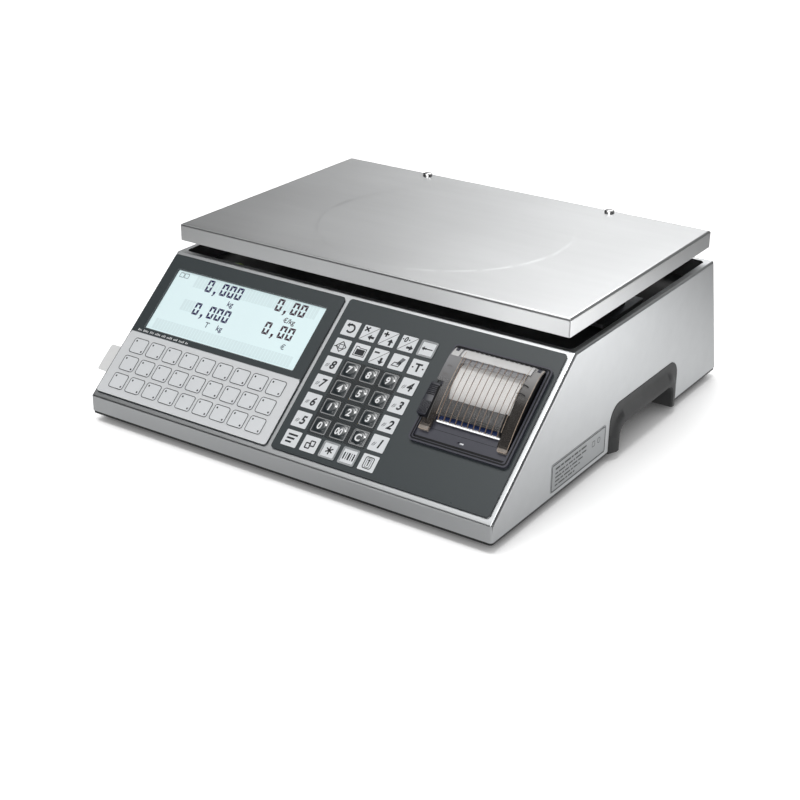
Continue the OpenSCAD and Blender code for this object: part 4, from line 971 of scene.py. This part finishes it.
low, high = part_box("rating_plate")
y0, y1, z0, z1 = low.y / MM, high.y / MM, low.z / MM, high.z / MM
plate = Drawing(right_side)
plate.line(rounded(y0 + 1.1, y1 - 1.1, z0 + 1.1, z1 - 1.1, 1.2), 0.9, INK, True)
rows = (0.78, 0.62, 0.48, 0.34, 0.20)
for r, share in enumerate(rows):    # stands for the small type, unreadable
    z = z0 + (z1 - z0) * share
    y = y0 + 6
    widths = (7.0, 4.2, 9.5, 3.0, 6.1, 2.4, 8.2)
    for i, w in enumerate(widths[r % 3:] + widths[:r % 3]):
        if y + w > y0 + (y1 - y0) * (0.92 if r == 0 else 0.68 - 0.05 * r):
            break
        plate.line([(y, z), (y + w, z)], 1.25 if r else 1.6, INK)
        y += w + 1.3
for i, a in enumerate((0.74, 0.84)):
    plate.line(rounded(y0 + (y1 - y0) * a, y0 + (y1 - y0) * a + 4.2, z0 + (z1 - z0) * 0.55,
                       z0 + (z1 - z0) * 0.55 + 4.2, 0.6 + 1.2 * i), 0.55, INK, True)
plate.build("rating_plate_print", [plate_ink], "scale", "rating_foil")

# ---------------------------------------------------------------- stage

floor_mesh = bpy.data.meshes.new("floor")
work = bmesh.new()
bmesh.ops.create_grid(work, x_segments=8, y_segments=8, size=14)
work.to_mesh(floor_mesh)
work.free()
floor = bpy.data.objects.new("floor", floor_mesh)
bpy.context.scene.collection.objects.link(floor)
s = Shader("floor", (0.90, 0.90, 0.90), 0.9, Specular_IOR_Level=0.05)
s.mottle(s.noise(3, detail=3), 0.004)
floor_mesh.materials.append(s.material)


def floor_light():
    """Lets the floor look white, and glow softly where the steel should mirror light."""
    s.set("Emission Color", (1, 1, 1, 1))
    total = None
    for x, y, reach, strength in FLOOR_GLOW:
        distance = s.node("ShaderNodeVectorMath", operation="DISTANCE")
        distance.inputs[1].default_value = (x, y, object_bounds()[0][2])
        s.link(s.coords, distance.inputs[0])
        glow = s.ramp(distance.outputs["Value"], strength, 0.0, 0.05, reach)
        if total is not None:
            add = s.node("ShaderNodeMath", operation="ADD")
            s.link(total, add.inputs[0])
            s.link(glow, add.inputs[1])
            glow = add.outputs["Value"]
        total = glow
    seen = s.node("ShaderNodeLightPath").outputs["Is Camera Ray"]
    pick = s.node("ShaderNodeMix")
    s.link(seen, pick.inputs["Factor"])
    s.link(total, pick.inputs["A"])
    shaded = s.node("ShaderNodeAmbientOcclusion", samples=12)
    shaded.inputs["Distance"].default_value = SHADE_REACH
    deep = s.node("ShaderNodeMath", operation="POWER")
    deep.inputs[1].default_value = SHADE_DEPTH
    s.link(shaded.outputs["AO"], deep.inputs[0])
    white = s.node("ShaderNodeMath", operation="MULTIPLY")
    white.inputs[1].default_value = FLOOR_WHITE
    s.link(deep.outputs["Value"], white.inputs[0])
    s.link(white.outputs["Value"], pick.inputs["B"])
    s.link(pick.outputs["Result"], s.bsdf.inputs["Emission Strength"])
    shade = s.node("ShaderNodeMix", data_type="RGBA")
    shade.inputs["A"].default_value = (0.40, 0.40, 0.40, 1)
    shade.inputs["B"].default_value = (0.90, 0.90, 0.90, 1)
    s.link(seen, shade.inputs["Factor"])
    s.link(shade.outputs["Result"], s.bsdf.inputs["Base Color"])


FLOOR_WHITE = 0.72                  # how bright the open floor looks by itself
SHADE_REACH = 0.22                  # how far the scale's shade spreads over the floor
SHADE_DEPTH = 1.4                   # above 1, the shade is deeper close to the scale
# where the floor glows: x, y, how far it reaches, strength
FLOOR_GLOW = ((0.60, 0.22, 0.30, 2.3), (0.40, 0.10, 0.38, 0.80), (0.35, -0.30, 0.30, 0.32),
              (-0.20, -0.48, 0.40, 0.45), (0.02, -0.42, 0.15, 1.6))
floor_light()


FILL_PLACE, FILL_AIM = Vector((0.9, -2.2, 1.3)), Vector((0, 0, 0.05))
fill = bpy.data.objects.new("front_fill", bpy.data.lights.new("front_fill", "AREA"))
fill.data.shape = "RECTANGLE"
fill.data.size, fill.data.size_y = 1.8, 1.2
fill.data.energy = 27
fill.location = FILL_PLACE
fill.rotation_euler = (FILL_AIM - FILL_PLACE).to_track_quat("-Z", "Y").to_euler()
bpy.context.scene.collection.objects.link(fill)

glint = bpy.data.objects.new("glint", bpy.data.lights.new("glint", "SUN"))
glint.data.energy = 0.7
glint.data.angle = math.radians(12)
glint.rotation_euler = Vector((0.02, -0.18, 0.98)).to_track_quat("Z", "Y").to_euler()
bpy.context.scene.collection.objects.link(glint)

# bright parts of the studio: azimuth and elevation in degrees, sharpness, strength
STUDIO = ((120, 35, 8, 0.08), (208, 74, 33, 4.8), (113, 8, 30, 0.60), (112, 38, 60, 5.0),
          (60, 40, 6, 0.30))


def sky():
    """Dark studio with a few soft bright parts; white where the camera looks past."""
    world = bpy.data.worlds.new("studio")
    bpy.context.scene.world = world
    world.use_nodes = True
    tree = world.node_tree
    background = tree.nodes["Background"]
    coords = tree.nodes.new("ShaderNodeTexCoord").outputs["Generated"]

    def math_node(operation, a, b=None):
        made = tree.nodes.new("ShaderNodeMath")
        made.operation = operation
        for socket, value in zip(made.inputs, (a, b)):
            if isinstance(value, bpy.types.NodeSocket):
                tree.links.new(value, socket)
            elif value is not None:
                socket.default_value = value
        return made.outputs["Value"]

    total = None
    for azimuth, elevation, sharp, strength in STUDIO:
        a, e = math.radians(azimuth), math.radians(elevation)
        dot = tree.nodes.new("ShaderNodeVectorMath")
        dot.operation = "DOT_PRODUCT"
        dot.inputs[1].default_value = (math.cos(a) * math.cos(e), math.sin(a) * math.cos(e),
                                       math.sin(e))
        tree.links.new(coords, dot.inputs[0])
        away = math_node("MULTIPLY", math_node("SUBTRACT", dot.outputs["Value"], 1.0), sharp)
        part = math_node("MULTIPLY", math_node("EXPONENT", away), strength)
        total = part if total is None else math_node("ADD", total, part)
    tree.links.new(total, background.inputs["Color"])
    pale = tree.nodes.new("ShaderNodeBackground")
    pale.inputs["Color"].default_value = (1, 1, 1, 1)
    path = tree.nodes.new("ShaderNodeLightPath")
    mix = tree.nodes.new("ShaderNodeMixShader")
    tree.links.new(path.outputs["Is Camera Ray"], mix.inputs["Fac"])
    tree.links.new(background.outputs["Background"], mix.inputs[1])
    tree.links.new(pale.outputs["Background"], mix.inputs[2])
    tree.links.new(mix.outputs["Shader"], tree.nodes["World Output"].inputs["Surface"])


sky()
bpy.context.scene.view_settings.view_transform = "Standard"

CAMERA_PLACE, CAMERA_TURN = (0.6683, -1.0186, 0.5589), (65.207, -0.634, 34.057)
camera = bpy.data.objects.new("camera", bpy.data.cameras.new("camera"))
camera.data.lens = 70.6
camera.location = CAMERA_PLACE
camera.rotation_euler = Euler([math.radians(a) for a in CAMERA_TURN])
bpy.context.scene.collection.objects.link(camera)
bpy.context.scene.camera = camera

bpy.context.view_layer.update()
